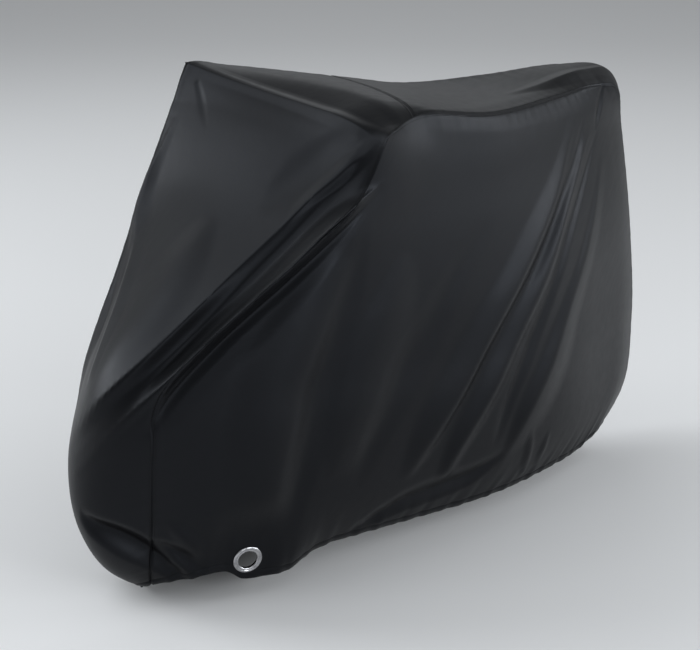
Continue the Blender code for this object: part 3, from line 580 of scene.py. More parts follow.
# --- The eyelet's place ---------------------------------------------------------------------------
@dataclass(frozen=True)
class EyeletPlane:
    """The plane in which the eyelet sits, in the table frame."""

    middle: Array
    along_hem: Array
    upward: Array
    outward: Array

    @classmethod
    def from_facing(cls, middle: Point, facing: Point) -> "EyeletPlane":
        """The plane through a point that faces a given way, with one direction kept level.

        Args:
            middle: The point.
            facing: The way the plane faces, of any length.

        Returns:
            The plane.
        """
        outward = unit(np.array(facing))
        along_hem = unit(np.cross((0.0, 0.0, 1.0), outward))
        return cls(np.array(middle), along_hem, np.cross(outward, along_hem), outward)

    def pressed(self, points: Array) -> Array:
        """The given points, pressed onto the plane around the eyelet.

        The press is whole out to TAB_FLAT and fades to nothing at TAB_FADE, along the step
        10t^3 - 15t^4 + 6t^5.

        Args:
            points: Points of the cloth, in an array whose last axis is X, Y and Z.

        Returns:
            The pressed points, in an array of the same shape.
        """
        offset = points - self.middle
        height = offset @ self.outward
        distance = np.linalg.norm(offset, axis=-1)
        t = np.clip((TAB_FADE - distance) / (TAB_FADE - TAB_FLAT), 0, 1)
        press = t**3 * (10 - 15 * t + 6 * t * t)
        return points - (press * height)[..., None] * self.outward

    def shift_to(self, mount: dict) -> Array:
        """How far the table frame lies from the model's own.

        Args:
            mount: The record's eyelet mount, on the flat of the flange straight above the hole.

        Returns:
            The shift to add to a place in the table frame.
        """
        there = np.array(mount["pos_m"])
        here = self.middle + FLANGE_MIDDLE * self.upward + FLANGE_FRONT * self.outward
        return there - here


# --- The form of the cloth ------------------------------------------------------------------------
@dataclass(frozen=True)
class GripPatch:
    """The cloth around the near grip that a soft spot is blended with, and its sample points."""

    first: str = "apron"  # the sections between which it lies
    last: str = "rise"
    across: float = 0.8  # how far across the strip it reaches, as a share, from the near seam
    along: float = 0.45  # how far along the near side panel, as a share, from the front seam
    low: float = 0.45  # the share of the panel's height from which it reaches up to the top seam
    strip_samples: tuple[int, int] = (110, 40)
    side_samples: tuple[int, int] = (70, 56)


class CoverForm:
    """The middle surface of the whole cover, as functions of places on its sheets."""

    def __init__(self, plane: EyeletPlane) -> None:
        """Works out the strip's knots and the samples that soft spots are blended with.

        Args:
            plane: The plane in which the eyelet sits.
        """
        self.plane = plane
        self.knots = run_of([row.middle for row in STRIP])
        self.names = [row.name for row in STRIP]
        self.samples, self.areas = self.grip_samples(GripPatch())

    def knot(self, name: str) -> float:
        """The distance along the strip's middle line at the named section."""
        return float(self.knots[self.names.index(name)])

    def seam(self, edge: str, at: Array) -> Array:
        """Points of the strip's near edge, middle or far edge."""
        return smooth([getattr(row, edge) for row in STRIP], self.knots, at)

    def even_places(self, first: str, last: str, shares: Array) -> Array:
        """Places along the strip whose mean run along both its seams lies at the given shares.

        Args:
            first: The section from which the run is measured.
            last: The section at which it ends.
            shares: Shares of that run.

        Returns:
            Distances along the strip's middle line, one for each share.
        """
        dense = np.linspace(self.knot(first), self.knot(last), STRIP_STATIONS)
        run = (run_of(self.seam("near", dense)) + run_of(self.seam("far", dense))) / 2
        return np.interp(np.asarray(shares) * run[-1], run, dense)

    def share_of(self, name: str, first: str, last: str) -> float:
        """The share of the run from the first to the last section at which the named one lies."""
        dense = np.linspace(0, 1, STRIP_STATIONS)
        return float(np.interp(self.knot(name), self.even_places(first, last, dense), dense))

    def strip(self, along: Array, across: Array) -> Array:
        """The strip between its seams: in each section, a parabola through the middle line.

        Args:
            along: Distances along the strip's middle line.
            across: Shares of the way from the near seam to the far one.

        Returns:
            The points, in an array shaped like the given ones with one more axis.
        """
        near, middle, far = (self.seam(edge, along) for edge in ("near", "middle", "far"))
        crown = 2 * middle - (near + far) / 2
        t = across[..., None]
        return (1 - t) ** 2 * near + 2 * t * (1 - t) * crown + t**2 * far

    def side(self, flank: Flank, along: Array, up: Array) -> Array:
        """A side panel between its front seam, top seam, rear seam and hem.

        The sum of the two ruled surfaces between opposite edges, less the one through the four
        corners, and then a bulge along Y: a half sine from hem to top, as high as the bows say.

        Args:
            flank: The side of the bicycle on which it hangs.
            along: Shares of the panel's length, from the front.
            up: Shares of its height, from the hem.

        Returns:
            The points, in an array shaped like the given ones with one more axis.
        """
        front = self.seam(flank.edge, self.even_places("front hem", "bar", up))
        rear = self.seam(flank.edge, self.even_places("saddle rear", "rear hem", 1 - up))
        top = self.seam(flank.edge, self.even_places("bar", "saddle rear", along))
        hem, skirt = (
            smooth(curve, run_of(curve) / run_of(curve)[-1], along)
            for curve in (flank.hem, flank.skirt)
        )
        low_front, low_rear = np.array(flank.hem[0]), np.array(flank.hem[-1])
        high_front = self.seam(flank.edge, self.knot("bar"))
        high_rear = self.seam(flank.edge, self.knot("saddle rear"))
        u, v = along[..., None], up[..., None]
        hem = skirt + (hem - skirt) * (1 - v) ** SKIRT_FADE
        surface = (1 - u) * front + u * rear + (1 - v) * hem + v * top
        surface -= (1 - v) * ((1 - u) * low_front + u * low_rear)
        surface -= v * ((1 - u) * high_front + u * high_rear)
        places = np.array([row.along for row in BOWS])
        bow = smooth([(row.low, row.high) for row in BOWS], places, along)
        bulge = BULGE * np.sin(np.pi * up) * (bow[..., 0] * (1 - up) + bow[..., 1] * up)
        surface[..., 1] += flank.outward * bulge
        return surface

    def grip_samples(self, patch: GripPatch) -> tuple[Array, Array]:
        """Points all over the smooth cloth around the near grip, and the area each stands for.

        Args:
            patch: Where that cloth lies on the strip and on the near side panel.

        Returns:
            The points, and the areas in square metres.
        """
        rows, columns = patch.strip_samples
        places = np.linspace(self.knot(patch.first), self.knot(patch.last), rows)
        shares = np.linspace(0, patch.across, columns)
        strip = self.strip(*np.meshgrid(places, shares, indexing="ij"))
        rows, columns = patch.side_samples
        lengths, heights = np.linspace(0, patch.along, rows), np.linspace(patch.low, 1, columns)
        side = self.side(Flank.NEAR, *np.meshgrid(lengths, heights, indexing="ij"))
        points = np.concatenate([grid.reshape(-1, 3) for grid in (strip, side)])
        steps = [np.cross(*np.gradient(grid, axis=(0, 1))) for grid in (strip, side)]
        areas = np.concatenate([np.linalg.norm(step, axis=-1).ravel() for step in steps])
        return points, areas

    def softened(self, points: Array) -> Array:
        """The given points, each near a soft spot moved towards the mean of the cloth around it.

        The mean is weighted by area and by a bell curve of the distance, as wide as the spot's
        blur, and the move fades out along a smooth step at the spot's reach.

        Args:
            points: Points of the smooth cloth.

        Returns:
            The moved points, in an array of the same shape.
        """
        moved = points.reshape(-1, 3).copy()
        for spot in SOFT_SPOTS:
            distance = np.linalg.norm(moved - np.array(spot.centre), axis=1)
            share = eased((spot.reach - distance) / (SPOT_FADE * spot.reach))
            touched = np.flatnonzero(share)
            for part in np.array_split(touched, 1 + len(touched) // POINTS_AT_ONCE):
                apart = square_distances(moved[part], self.samples)
                weights = np.exp(-apart / (2 * spot.blur**2)) * self.areas
                mean = weights @ self.samples / weights.sum(axis=1, keepdims=True)
                moved[part] += share[part][:, None] * (mean - moved[part])
        return moved.reshape(points.shape)

    def folded(self, points: Array) -> Array:
        """The given points of the smooth cloth, lifted by every fold.

        Args:
            points: Points of the smooth cloth.

        Returns:
            The lifted points, in an array of the same shape.
        """
        lifted = points.copy()
        calm = slackness(points, CALM_NEAR, CALM_FAR)
        for fold in FOLDS + FINE_FOLDS:
            lifted += (calm * fold_height(points, fold))[..., None] * unit(np.array(fold.lift))
        return lifted

    def cloth(self, surface: Array) -> Array:
        """The finished middle surface at the points of a smooth one."""
        return self.plane.pressed(self.folded(self.softened(surface)))


def fold_height(points: Array, fold: Fold) -> Array:
    """How far one fold lifts the cloth at each point.

    Each point takes its height from the nearest station of the crest. Beside the crest the height
    falls off as a mix of (1 - t)^2, which is a crease, and (1 - t^2)^2, which is round. Behind and
    in front of the crest it is whole up to half of FOLD_REACH and falls evenly from there on. Past
    the crest's ends it dies away as (1 - t)^2, over the wider of the fold's two widths.

    Args:
        points: Points of the cloth, in an array whose last axis is X, Y and Z.
        fold: The fold.

    Returns:
        The lift in metres, in an array shaped like ``points`` without its last axis.
    """
    knots = run_of(fold.crest)
    at = np.linspace(0, knots[-1], CREST_STATIONS)
    crest = smooth(fold.crest, knots, at)
    lift = unit(np.array(fold.lift))
    widest = max(fold.left, fold.right)
    flat = points.reshape(-1, 3)
    low = crest.min(axis=0) - widest - FOLD_REACH * np.abs(lift)
    high = crest.max(axis=0) + widest + FOLD_REACH * np.abs(lift)
    inside = np.flatnonzero(((flat > low) & (flat < high)).all(axis=1))
    height = np.zeros(len(flat))
    if len(inside) == 0:
        return height.reshape(points.shape[:-1])
    ahead = unit(np.gradient(crest, axis=0))
    left = unit(np.cross(lift, ahead))
    close = flat[inside]
    nearest = np.argmin(square_distances(close, crest), axis=1)
    offset = close - crest[nearest]
    past = (offset * ahead[nearest]).sum(axis=1)
    beside = (offset * left[nearest]).sum(axis=1)
    behind = offset @ lift
    rise = smooth(np.array(fold.heights)[:, None], knots, at[nearest] + past)[:, 0]
    taper = FOLD_TAPER + (1 - FOLD_TAPER) * np.abs(rise) / np.abs(fold.heights).max()
    t = np.clip(np.abs(beside) / (taper * np.where(beside > 0, fold.left, fold.right)), 0, 1)
    profile = fold.sharp * (1 - t) ** 2 + (1 - fold.sharp) * (1 - t**2) ** 2
    beyond = np.clip(np.abs(past) - at[1], 0, None) / widest
    reach = np.clip(2 - 2 * np.abs(behind) / FOLD_REACH, 0, 1) * np.clip(1 - beyond, 0, 1) ** 2
    height[inside] = rise * profile * reach
    return height.reshape(points.shape[:-1])


# --- Finishes -------------------------------------------------------------------------------------
Socket = bpy.types.NodeSocket
Value = float | Colour | Socket  # what a socket is given


class Relief(NamedTuple):
    """How deep a bump is in metres, and how strongly it shows."""

    depth: float
    strength: float


class NodeWriter:
    """Adds nodes to one material, each placed to the right of the last."""

    FIRST = (-1800, 260)  # where the first node would stand
    STEP = (170, -90)  # how far to the right the next one stands, and how far below
    STAGGER = 5  # nodes that stand below each other before the next is level with the first
    MIX_AMOUNT, MIX_LOW, MIX_HIGH, MIX_RESULT = 0, 6, 7, 2  # the Mix node's sockets for colours

    def __init__(self, name: str) -> None:
        """Makes a node material that has only a Principled shader and an output.

        Args:
            name: The material's name.
        """
        self.material = bpy.data.materials.new(name)
        self.material.use_nodes = True
        self.tree = self.material.node_tree
        self.shader = self.tree.nodes["Principled BSDF"]
        self.column = 0

    def add(
        self,
        kind: str,
        inputs: dict[str | int, Value] | None = None,
        settings: dict[str, str] | None = None,
    ) -> bpy.types.Node:
        """Adds one node.

        Args:
            kind: The node's type, without the words that all of them start with.
            inputs: Socket names, each with a number, a colour or another node's output.
            settings: Properties to set on the node.

        Returns:
            The new node.
        """
        node = self.tree.nodes.new(f"ShaderNode{kind}")
        self.column += 1
        right = self.FIRST[0] + self.STEP[0] * self.column
        node.location = (right, self.FIRST[1] + self.STEP[1] * (self.column % self.STAGGER))
        for key, value in (settings or {}).items():
            setattr(node, key, value)
        for key, value in (inputs or {}).items():
            self.feed(node.inputs[key], value)
        return node

    def feed(self, socket: Socket, value: Value) -> None:
        """Sets a socket to a number or colour, or links another node's output to it.

        Args:
            socket: The socket.
            value: The number, the colour or the output.
        """
        if isinstance(value, Socket):
            self.tree.links.new(value, socket)
        else:
            socket.default_value = value

    def dress(self, values: dict[str, Value]) -> bpy.types.Material:
        """Sets the shader's sockets.

        Args:
            values: Socket names, each with a number, a colour or another node's output.

        Returns:
            The material.
        """
        for key, value in values.items():
            self.feed(self.shader.inputs[key], value)
        return self.material

    def place(self, kind: str) -> Socket:
        """The place on the piece: on its UV map, or in its Object coordinates."""
        return self.add("TexCoord").outputs[kind]

    def noise(self, place: Socket, scale: float, detail: float = 2.0) -> Socket:
        """A cloudy pattern from 0 to 1."""
        inputs = {"Vector": place, "Scale": scale, "Detail": detail}
        return self.add("TexNoise", inputs).outputs["Fac"]

    def blend(self, amount: Socket, low: Colour, high: Colour) -> Socket:
        """The mix of two colours by an amount."""
        inputs = {self.MIX_AMOUNT: amount, self.MIX_LOW: low, self.MIX_HIGH: high}
        return self.add("Mix", inputs, {"data_type": "RGBA"}).outputs[self.MIX_RESULT]

    def spread(self, value: Socket, low: float, high: float) -> Socket:
        """A value from 0 to 1, spread between two numbers."""
        inputs = {"Value": value, "To Min": low, "To Max": high}
        return self.add("MapRange", inputs).outputs["Result"]

    def bump(self, height: Socket, relief: Relief, below: Socket | None = None) -> Socket:
        """A bump in the surface.

        Args:
            height: The pattern that it follows, from 0 to 1.
            relief: How deep and how strong it is.
            below: Another bump that it lies on.

        Returns:
            The shader's normal.
        """
        inputs = {"Height": height, "Distance": relief.depth, "Strength": relief.strength}
        if below is not None:
            inputs["Normal"] = below
        return self.add("Bump", inputs).outputs["Normal"]


@dataclass(frozen=True)
class CoatedCloth:
    """Black woven polyester with a thin satin coating, patterned on its own UV map in metres."""

    name: str = "coated_cloth_finish"
    deep: Colour = (0.0026, 0.0026, 0.0029, 1.0)
    worn: Colour = (0.0035, 0.0035, 0.0039, 1.0)
    tone_scale: float = 5.0
    tone_detail: float = 3.0
    smoothest: float = 0.38
    roughest: float = 0.46
    crumple_scale: float = 32.0
    crumple_detail: float = 4.0
    crumple_fineness: float = 0.55
    crumple: Relief = Relief(0.002, 0.20)
    weave_scale: float = 70.0  # two sets of bands across each other, 4.5 mm apart
    weave_unevenness: float = 0.4
    weave: Relief = Relief(0.0001, 0.12)
    shine: float = 0.18
    sheen: Colour = (0.82, 0.88, 1.0, 1.0)

    def bands(self, write: NodeWriter, place: Socket, direction: str) -> Socket:
        """One of the weave's two sets of bands."""
        inputs = {"Vector": place, "Scale": self.weave_scale, "Distortion": self.weave_unevenness}
        return write.add("TexWave", inputs, {"bands_direction": direction}).outputs["Fac"]

    def build(self) -> bpy.types.Material:
        """Makes the material: weave, faint crumples, and a slow change of tone and gloss.

        Returns:
            The material.
        """
        write = NodeWriter(self.name)
        place = write.place("UV")
        tone = write.noise(place, self.tone_scale, self.tone_detail)
        inputs = {
            "Vector": place,
            "Scale": self.crumple_scale,
            "Detail": self.crumple_detail,
            "Roughness": self.crumple_fineness,
        }
        crumple = write.add("TexNoise", inputs).outputs["Fac"]
        across, along = (self.bands(write, place, direction) for direction in ("X", "Y"))
        weave = write.add("Math", {0: across, 1: along}, {"operation": "ADD"}).outputs[0]
        creased = write.bump(crumple, self.crumple)
        return write.dress(
            {
                "Base Color": write.blend(tone, self.deep, self.worn),
                "Roughness": write.spread(crumple, self.smoothest, self.roughest),
                "Normal": write.bump(weave, self.weave, creased),
                "Specular IOR Level": self.shine,
                "Specular Tint": self.sheen,
            }
        )


@dataclass(frozen=True)
class PlatedMetal:
    """Bright nickel plating, a little cloudy."""

    name: str = "plated_metal_finish"
    bright: Colour = (0.62, 0.62, 0.63, 1.0)
    dull: Colour = (0.26, 0.26, 0.28, 1.0)
    cloud_scale: float = 140.0
    cloud_detail: float = 3.0
    smoothest: float = 0.10
    roughest: float = 0.24
    relief: Relief = Relief(0.0002, 0.10)

    def build(self) -> bpy.types.Material:
        """Makes the material: polished metal with a little cloudiness in tone and gloss.

        Returns:
            The material.
        """
        write = NodeWriter(self.name)
        cloud = write.noise(write.place("Object"), self.cloud_scale, self.cloud_detail)
        return write.dress(
            {
                "Base Color": write.blend(cloud, self.dull, self.bright),
                "Roughness": write.spread(cloud, self.smoothest, self.roughest),
                "Normal": write.bump(cloud, self.relief),
                "Metallic": 1.0,
            }
        )


@dataclass(frozen=True)
class WovenElastic:
    """Matt black braided elastic."""

    name: str = "woven_elastic_finish"
    colour: Colour = (0.010, 0.010, 0.011, 1.0)
    lint: Colour = (0.030, 0.030, 0.032, 1.0)
    lint_scale: float = 900.0
    braid_scale: float = 320.0
    braid_unevenness: float = 2.0
    braid: Relief = Relief(0.0004, 0.5)
    roughness: float = 0.75
    shine: float = 0.50

    def build(self) -> bpy.types.Material:
        """Makes the material: a fine braid in bump, and lighter fibres in colour.

        Returns:
            The material.
        """
        write = NodeWriter(self.name)
        place = write.place("Object")
        inputs = {"Vector": place, "Scale": self.braid_scale, "Distortion": self.braid_unevenness}
        braid = write.add("TexWave", inputs).outputs["Fac"]
        fibre = write.noise(place, self.lint_scale)
        return write.dress(
            {
                "Base Color": write.blend(fibre, self.colour, self.lint),
                "Roughness": self.roughness,
                "Specular IOR Level": self.shine,
                "Normal": write.bump(braid, self.braid),
            }
        )


THREAD = WovenElastic(
    name="thread_finish",
    colour=(0.002, 0.002, 0.002, 1.0),
    lint=(0.006, 0.006, 0.006, 1.0),
    shine=0.15,
)


@dataclass(frozen=True)
class PaleFloor:
    """The plain pale floor."""

    name: str = "pale_floor_finish"
    colour: Colour = (0.86, 0.86, 0.86, 1.0)
    grain_scale: float = 60.0
    smoothest: float = 0.80
    roughest: float = 0.90

    def build(self) -> bpy.types.Material:
        """Makes the material: matt, with a trace of unevenness.

        Returns:
            The material.
        """
        write = NodeWriter(self.name)
        grain = write.noise(write.place("Object"), self.grain_scale)
        rough = write.spread(grain, self.smoothest, self.roughest)
        return write.dress({"Base Color": self.colour, "Roughness": rough})


# --- Sewing ---------------------------------------------------------------------------------------
@dataclass(frozen=True)
class SeamStyle:
    """How sewing draws the cloth in beside a seam."""

    sink: float = 0.0030  # depth of the line in which the two sheets meet
    groove: float = 0.0030  # half the width of that line
    swell: float = 0.0004  # height of the padded band beside it
    band: float = 0.013  # how far from the seam that band is highest
    spread: float = 0.6  # half the width of that band, as a share of its distance
    pucker: float = 0.0004  # height of the puckers across the band
    pitch: float = 0.034  # the usual distance from one pucker to the next
    start: float = 0.7  # where in their uneven wave the puckers start
    fade: float = 0.045  # how far from the seam the puckers reach
    stitching: float = 0.0065  # how far from the seam its line of stitches runs

    def height(self, distance: Array, place: Array) -> Array:
        """How far the cloth stands out at a distance from a seam, at a place along it.

        A bell-shaped groove on the seam, a bell-shaped band beside it, and an uneven wave along
        the seam that is nothing on it and dies away with the distance.

        Args:
            distance: Distances from the seam in metres.
            place: Distances along the seam in metres, in an array that fits the other one.

        Returns:
            The height in metres.
        """
        line = np.exp(-((distance / self.groove) ** 2))
        band = np.exp(-(((distance - self.band) / (self.spread * self.band)) ** 2))
        wave = ripple(2 * np.pi * place / self.pitch, self.start)
        share = np.exp(-((distance / self.fade) ** 2)) * (1 - line)
        return self.swell * band - self.sink * line + self.pucker * wave * share


@dataclass(frozen=True)
class HemStyle:
    """A hem turned round its elastic: a rolled edge, a stitched line, and gathers above it."""

    roll: float = 0.0010  # how much thicker the tunnel is, on each face
    width: float = 0.020  # the width of the tunnel
    sink: float = 0.0007  # depth of the stitched line at its top
    line: float = 0.0035  # half the width of that line
    gather: float = 0.0016  # height of the gathers
    pitch: float = 0.052  # the usual distance from one gather to the next
    start: float = 1.9  # where in their uneven wave the gathers start
    fade: float = 0.075  # how far above the hem the gathers reach

    def thickening(self, distance: Array) -> Array:
        """How much farther each face lies from the middle: a half sine across the tunnel."""
        return self.roll * np.sin(np.pi * np.clip(distance / self.width, 0, 1))

    def height(self, distance: Array, place: Array, seam_distance: Array) -> Array:
        """How far the cloth stands out above the hem's edge.

        A groove at the stitched line, and an uneven wave along the hem that dies away above it
        and beside the seams.

        Args:
            distance: Distances above the hem's edge in metres.
            place: Distances along the hem in metres.
            seam_distance: Distances from the nearest seam that meets the hem.

        Returns:
            The height in metres.
        """
        line = np.exp(-(((distance - self.width) / self.line) ** 2))
        wave = ripple(2 * np.pi * place / self.pitch, self.start)
        share = np.exp(-((distance / self.fade) ** 2)) * eased(seam_distance / self.fade)
        return self.gather * wave * share - self.sink * line


SEAM = SeamStyle()
HEM = HemStyle()
SEAM_LEFT = 0.10  # share of a seam's height that is left where the cloth is pulled tight
SEAM_CALM_NEAR = 0.12  # a seam is pulled tight this close to a soft spot's centre
SEAM_CALM_FAR = 0.24  # and stands as usual from this far on
EYELET_CALM = 0.030  # the cloth has no sewing within this distance of the eyelet's middle
EYELET_CALM_FADE = 0.030  # and all of it this much farther off


# --- Sheets of cloth ------------------------------------------------------------------------------
def run_across(grid: Array, axis: int, backward: bool = False) -> Array:
    """The distance along one axis of a grid of points.

    Args:
        grid: The points.
        axis: The grid's axis along which the distance is measured.
        backward: Whether it is measured from the last row, and not from the first.

    Returns:
        A distance for each point.
    """
    turned = np.flip(grid, axis) if backward else grid
    steps = np.linalg.norm(np.diff(turned, axis=axis), axis=-1)
    start = np.zeros_like(np.take(steps, [0], axis=axis))
    run = np.cumsum(np.concatenate((start, steps), axis=axis), axis=axis)
    return np.flip(run, axis) if backward else run


def sampled(at: Array, run: Array, rows: Array) -> Array:
    """Rows given at the distances of a run, taken at other distances by straight lines."""
    return np.column_stack([np.interp(at, run, column) for column in rows.T])


def graded(count: int, pull: float) -> Array:
    """Shares from 0 to 1, closer together at both ends: s - pull sin(2 pi s) / 2 pi."""
    even = np.linspace(0, 1, count + 1)
    return even - pull * np.sin(2 * np.pi * even) / (2 * np.pi)


class Side(Enum):
    """One side of a sheet's grid: the axis that leads away from it, and whether backward."""

    FIRST_ROW = (0, False)
    LAST_ROW = (0, True)
    FIRST_COLUMN = (1, False)
    LAST_COLUMN = (1, True)

    def distances(self, grid: Array) -> Array:
        """The distance from this side at each point of a grid."""
        return run_across(grid, self.value[0], self.value[1])

    def along(self, grid: Array) -> Array:
        """The distance along this side.

        Args:
            grid: The grid's points.

        Returns:
            The distances, as a row or column that fits the grid.
        """
        axis, backward = self.value
        edge = np.take(grid, -1 if backward else 0, axis=axis)
        return np.expand_dims(run_of(edge), axis)


class ClothSheet:
    """One sheet of cloth on a grid of rows and columns."""

    def __init__(self, grid: Array, sign: float, seams: list[Side], hems: list[Side]) -> None:
        """Takes a sheet's middle surface and works out its sewing.

        Args:
            grid: The middle surface's points.
            sign: 1 where the cross product of row and column steps points outward, else -1.
            seams: The grid's sides that are sewn to other sheets.
            hems: The grid's sides that are hemmed.
        """
        self.grid = grid
        self.sign = sign
        self.seams = seams
        self.hems = hems
        self.cut = np.stack((run_across(grid, 0), run_across(grid, 1)), axis=-1)
        steps = np.gradient(grid, axis=(0, 1))
        self.outward = unit(sign * np.cross(steps[0], steps[1]))
        self.half = np.full(grid.shape[:2], CLOTH_THICK / 2)
        self.detail = np.zeros(grid.shape[:2])
        to_seam = np.min([side.distances(grid) for side in seams], axis=0)
        slack = SEAM_LEFT + (1 - SEAM_LEFT) * slackness(grid, SEAM_CALM_NEAR, SEAM_CALM_FAR)
        for side in seams:
            self.detail += slack * SEAM.height(side.distances(grid), side.along(grid))
        for side in hems:
            distance = side.distances(grid)
            self.detail += HEM.height(distance, side.along(grid), to_seam)
            self.half += HEM.thickening(distance)
        self.keep = np.ones((grid.shape[0] - 1, grid.shape[1] - 1), bool)

    def settle(self) -> None:
        """Moves the middle surface outward by its sewing."""
        self.grid = self.grid + self.outward * self.detail[..., None]

    def calm(self, plane: EyeletPlane) -> None:
        """Leaves the sewing out around the eyelet, where the cloth is held flat.

        Args:
            plane: The plane in which the eyelet sits.
        """
        distance = np.linalg.norm(self.grid - plane.middle, axis=-1)
        share = eased((distance - EYELET_CALM) / EYELET_CALM_FADE)
        self.detail *= share
        self.half = CLOTH_THICK / 2 + (self.half - CLOTH_THICK / 2) * share

    def cut_round(self, plane: EyeletPlane, radius: float) -> None:
        """Cuts a round hole: leaves out the cells inside it and draws its edge onto the circle.

        Args:
            plane: The plane in which the hole lies, with its middle.
            radius: The hole's radius.
        """
        first, second = slice(0, -1), slice(1, None)
        corners = [(row, column) for row in (first, second) for column in (first, second)]
        centres = sum(self.grid[corner] for corner in corners) / len(corners)
        inside = np.linalg.norm(centres - plane.middle, axis=-1) < radius
        self.keep &= ~inside
        touched = np.zeros(self.grid.shape[:2], bool)
        surrounded = np.ones_like(touched)
        for corner in corners:
            touched[corner] |= inside
            surrounded[corner] &= inside
        rim = touched & ~surrounded
        offset = self.grid[rim] - plane.middle
        offset -= (offset @ plane.outward)[:, None] * plane.outward
        self.grid[rim] = plane.middle + radius * unit(offset)

    def to_mesh(self, name: str, shift: Array) -> bpy.types.Mesh:
        """A closed mesh: an outer face, an inner face and a rim, with a UV map in metres.

        Args:
            name: The mesh's name.
            shift: The table frame's place in the model's own frame.

        Returns:
            The mesh.
        """
        rows, columns = self.grid.shape[:2]
        index = np.arange(rows * columns).reshape(rows, columns)
        corners = (index[:-1, :-1], index[1:, :-1], index[1:, 1:], index[:-1, 1:])
        quads = np.stack(corners if self.sign > 0 else corners[::-1], axis=-1)[self.keep]
        used, packed = np.unique(quads, return_inverse=True)
        quads = packed.reshape(-1, 4)
        count = len(used)
        edges = np.concatenate([quads[:, (i, (i + 1) % 4)] for i in range(4)])
        codes = edges[:, 0] * count + edges[:, 1]
        rim = edges[~np.isin(codes, edges[:, 1] * count + edges[:, 0])]
        walls = np.column_stack((rim[:, 1], rim[:, 0], rim[:, 0] + count, rim[:, 1] + count))
        faces = np.concatenate((quads, quads[:, ::-1] + count, walls))
        middle = self.grid.reshape(-1, 3)[used] + shift
        reach = (self.outward * self.half[..., None]).reshape(-1, 3)[used]
        points = np.concatenate((middle + reach, middle - reach))
        mesh = smooth_mesh(name, points, faces.tolist())
        cut = np.tile(self.cut.reshape(-1, 2)[used], (2, 1))[faces.ravel()]
        uv = mesh.uv_layers.new(name="cut")
        uv.data.foreach_set("uv", cut.astype(np.float32).ravel())
        mesh.set_sharp_from_angle(angle=RIM_ANGLE)
        return mesh

    def line(self, side: Side, distance: float) -> tuple[Array, Array]:
        """The outer face's points and outward directions along a line beside one side.

        Args:
            side: The side.
            distance: How far from the side the line runs.

        Returns:
            The points and the directions, one of each for each row or column that the line crosses.
        """
        axis, backward = side.value
        outer = self.grid + self.outward * self.half[..., None]
        order = (1, 0, 2) if axis == 0 else (0, 1, 2)
        points, outward = (np.transpose(part, order) for part in (outer, self.outward))
        if backward:
            points, outward = points[:, ::-1], outward[:, ::-1]
        run = run_across(points, 1)
        i = np.clip((run < distance).sum(axis=1), 1, run.shape[1] - 1)
        rows = np.arange(len(i))
        before, after = run[rows, i - 1], run[rows, i]
        t = np.clip((distance - before) / (after - before), 0, 1)[:, None]
        place = points[rows, i - 1] * (1 - t) + points[rows, i] * t
        return place, unit(outward[rows, i - 1] * (1 - t) + outward[rows, i] * t)


def share_directions(sheets: list[ClothSheet]) -> None:
    """Gives points that sheets share one outward direction, so that their edges meet squarely.

    Args:
        sheets: The sheets.
    """
    places = np.concatenate([sheet.grid.reshape(-1, 3) for sheet in sheets])
    outward = np.concatenate([sheet.outward.reshape(-1, 3) for sheet in sheets])
    _, group = np.unique(np.round(places, SAME_PLACE), axis=0, return_inverse=True)
    group = group.ravel()
    total = np.column_stack([np.bincount(group, outward[:, axis]) for axis in range(3)])
    shared = unit(total)[group]
    start = 0
    for sheet in sheets:
        count = sheet.outward.size // 3
        sheet.outward = shared[start : start + count].reshape(sheet.outward.shape)
        start += count


@dataclass(frozen=True)
class GridPlan:
    """The rows and columns that the sheets share, so that they meet point to point."""

    cells_along: int = 288  # along a side panel and the top of the strip
    cells_up: int = 170  # up a side panel and each end of the strip
    cells_front: int = 180  # across the front panel
    cells_rear: int = 116  # across the rear panel
    grading: float = 0.68  # how much closer together they lie at the seams

    def columns(self, form: CoverForm) -> Array:
        """Shares of a side panel's length, with the cross seam on one of them.

        Args:
            form: The form of the cloth.

        Returns:
            The shares.
        """
        shares = graded(self.cells_along, self.grading)
        cross = form.share_of("cross seam", "bar", "saddle rear")
        shares[np.argmin(np.abs(shares - cross))] = cross
        return shares

    def rows(self) -> Array:
        """Shares of a side panel's height."""
        return graded(self.cells_up, self.grading)


class Cut(NamedTuple):
    """A sheet as it was cut: its flat width and length, and its flat area."""

    width: float
    length: float
    area: float


SIDE_CUT = Cut(1.68, 1.16, 1.46)
FRONT_CUT = Cut(1.63, 0.66, 0.72)
REAR_CUT = Cut(1.85, 0.51, 0.43)


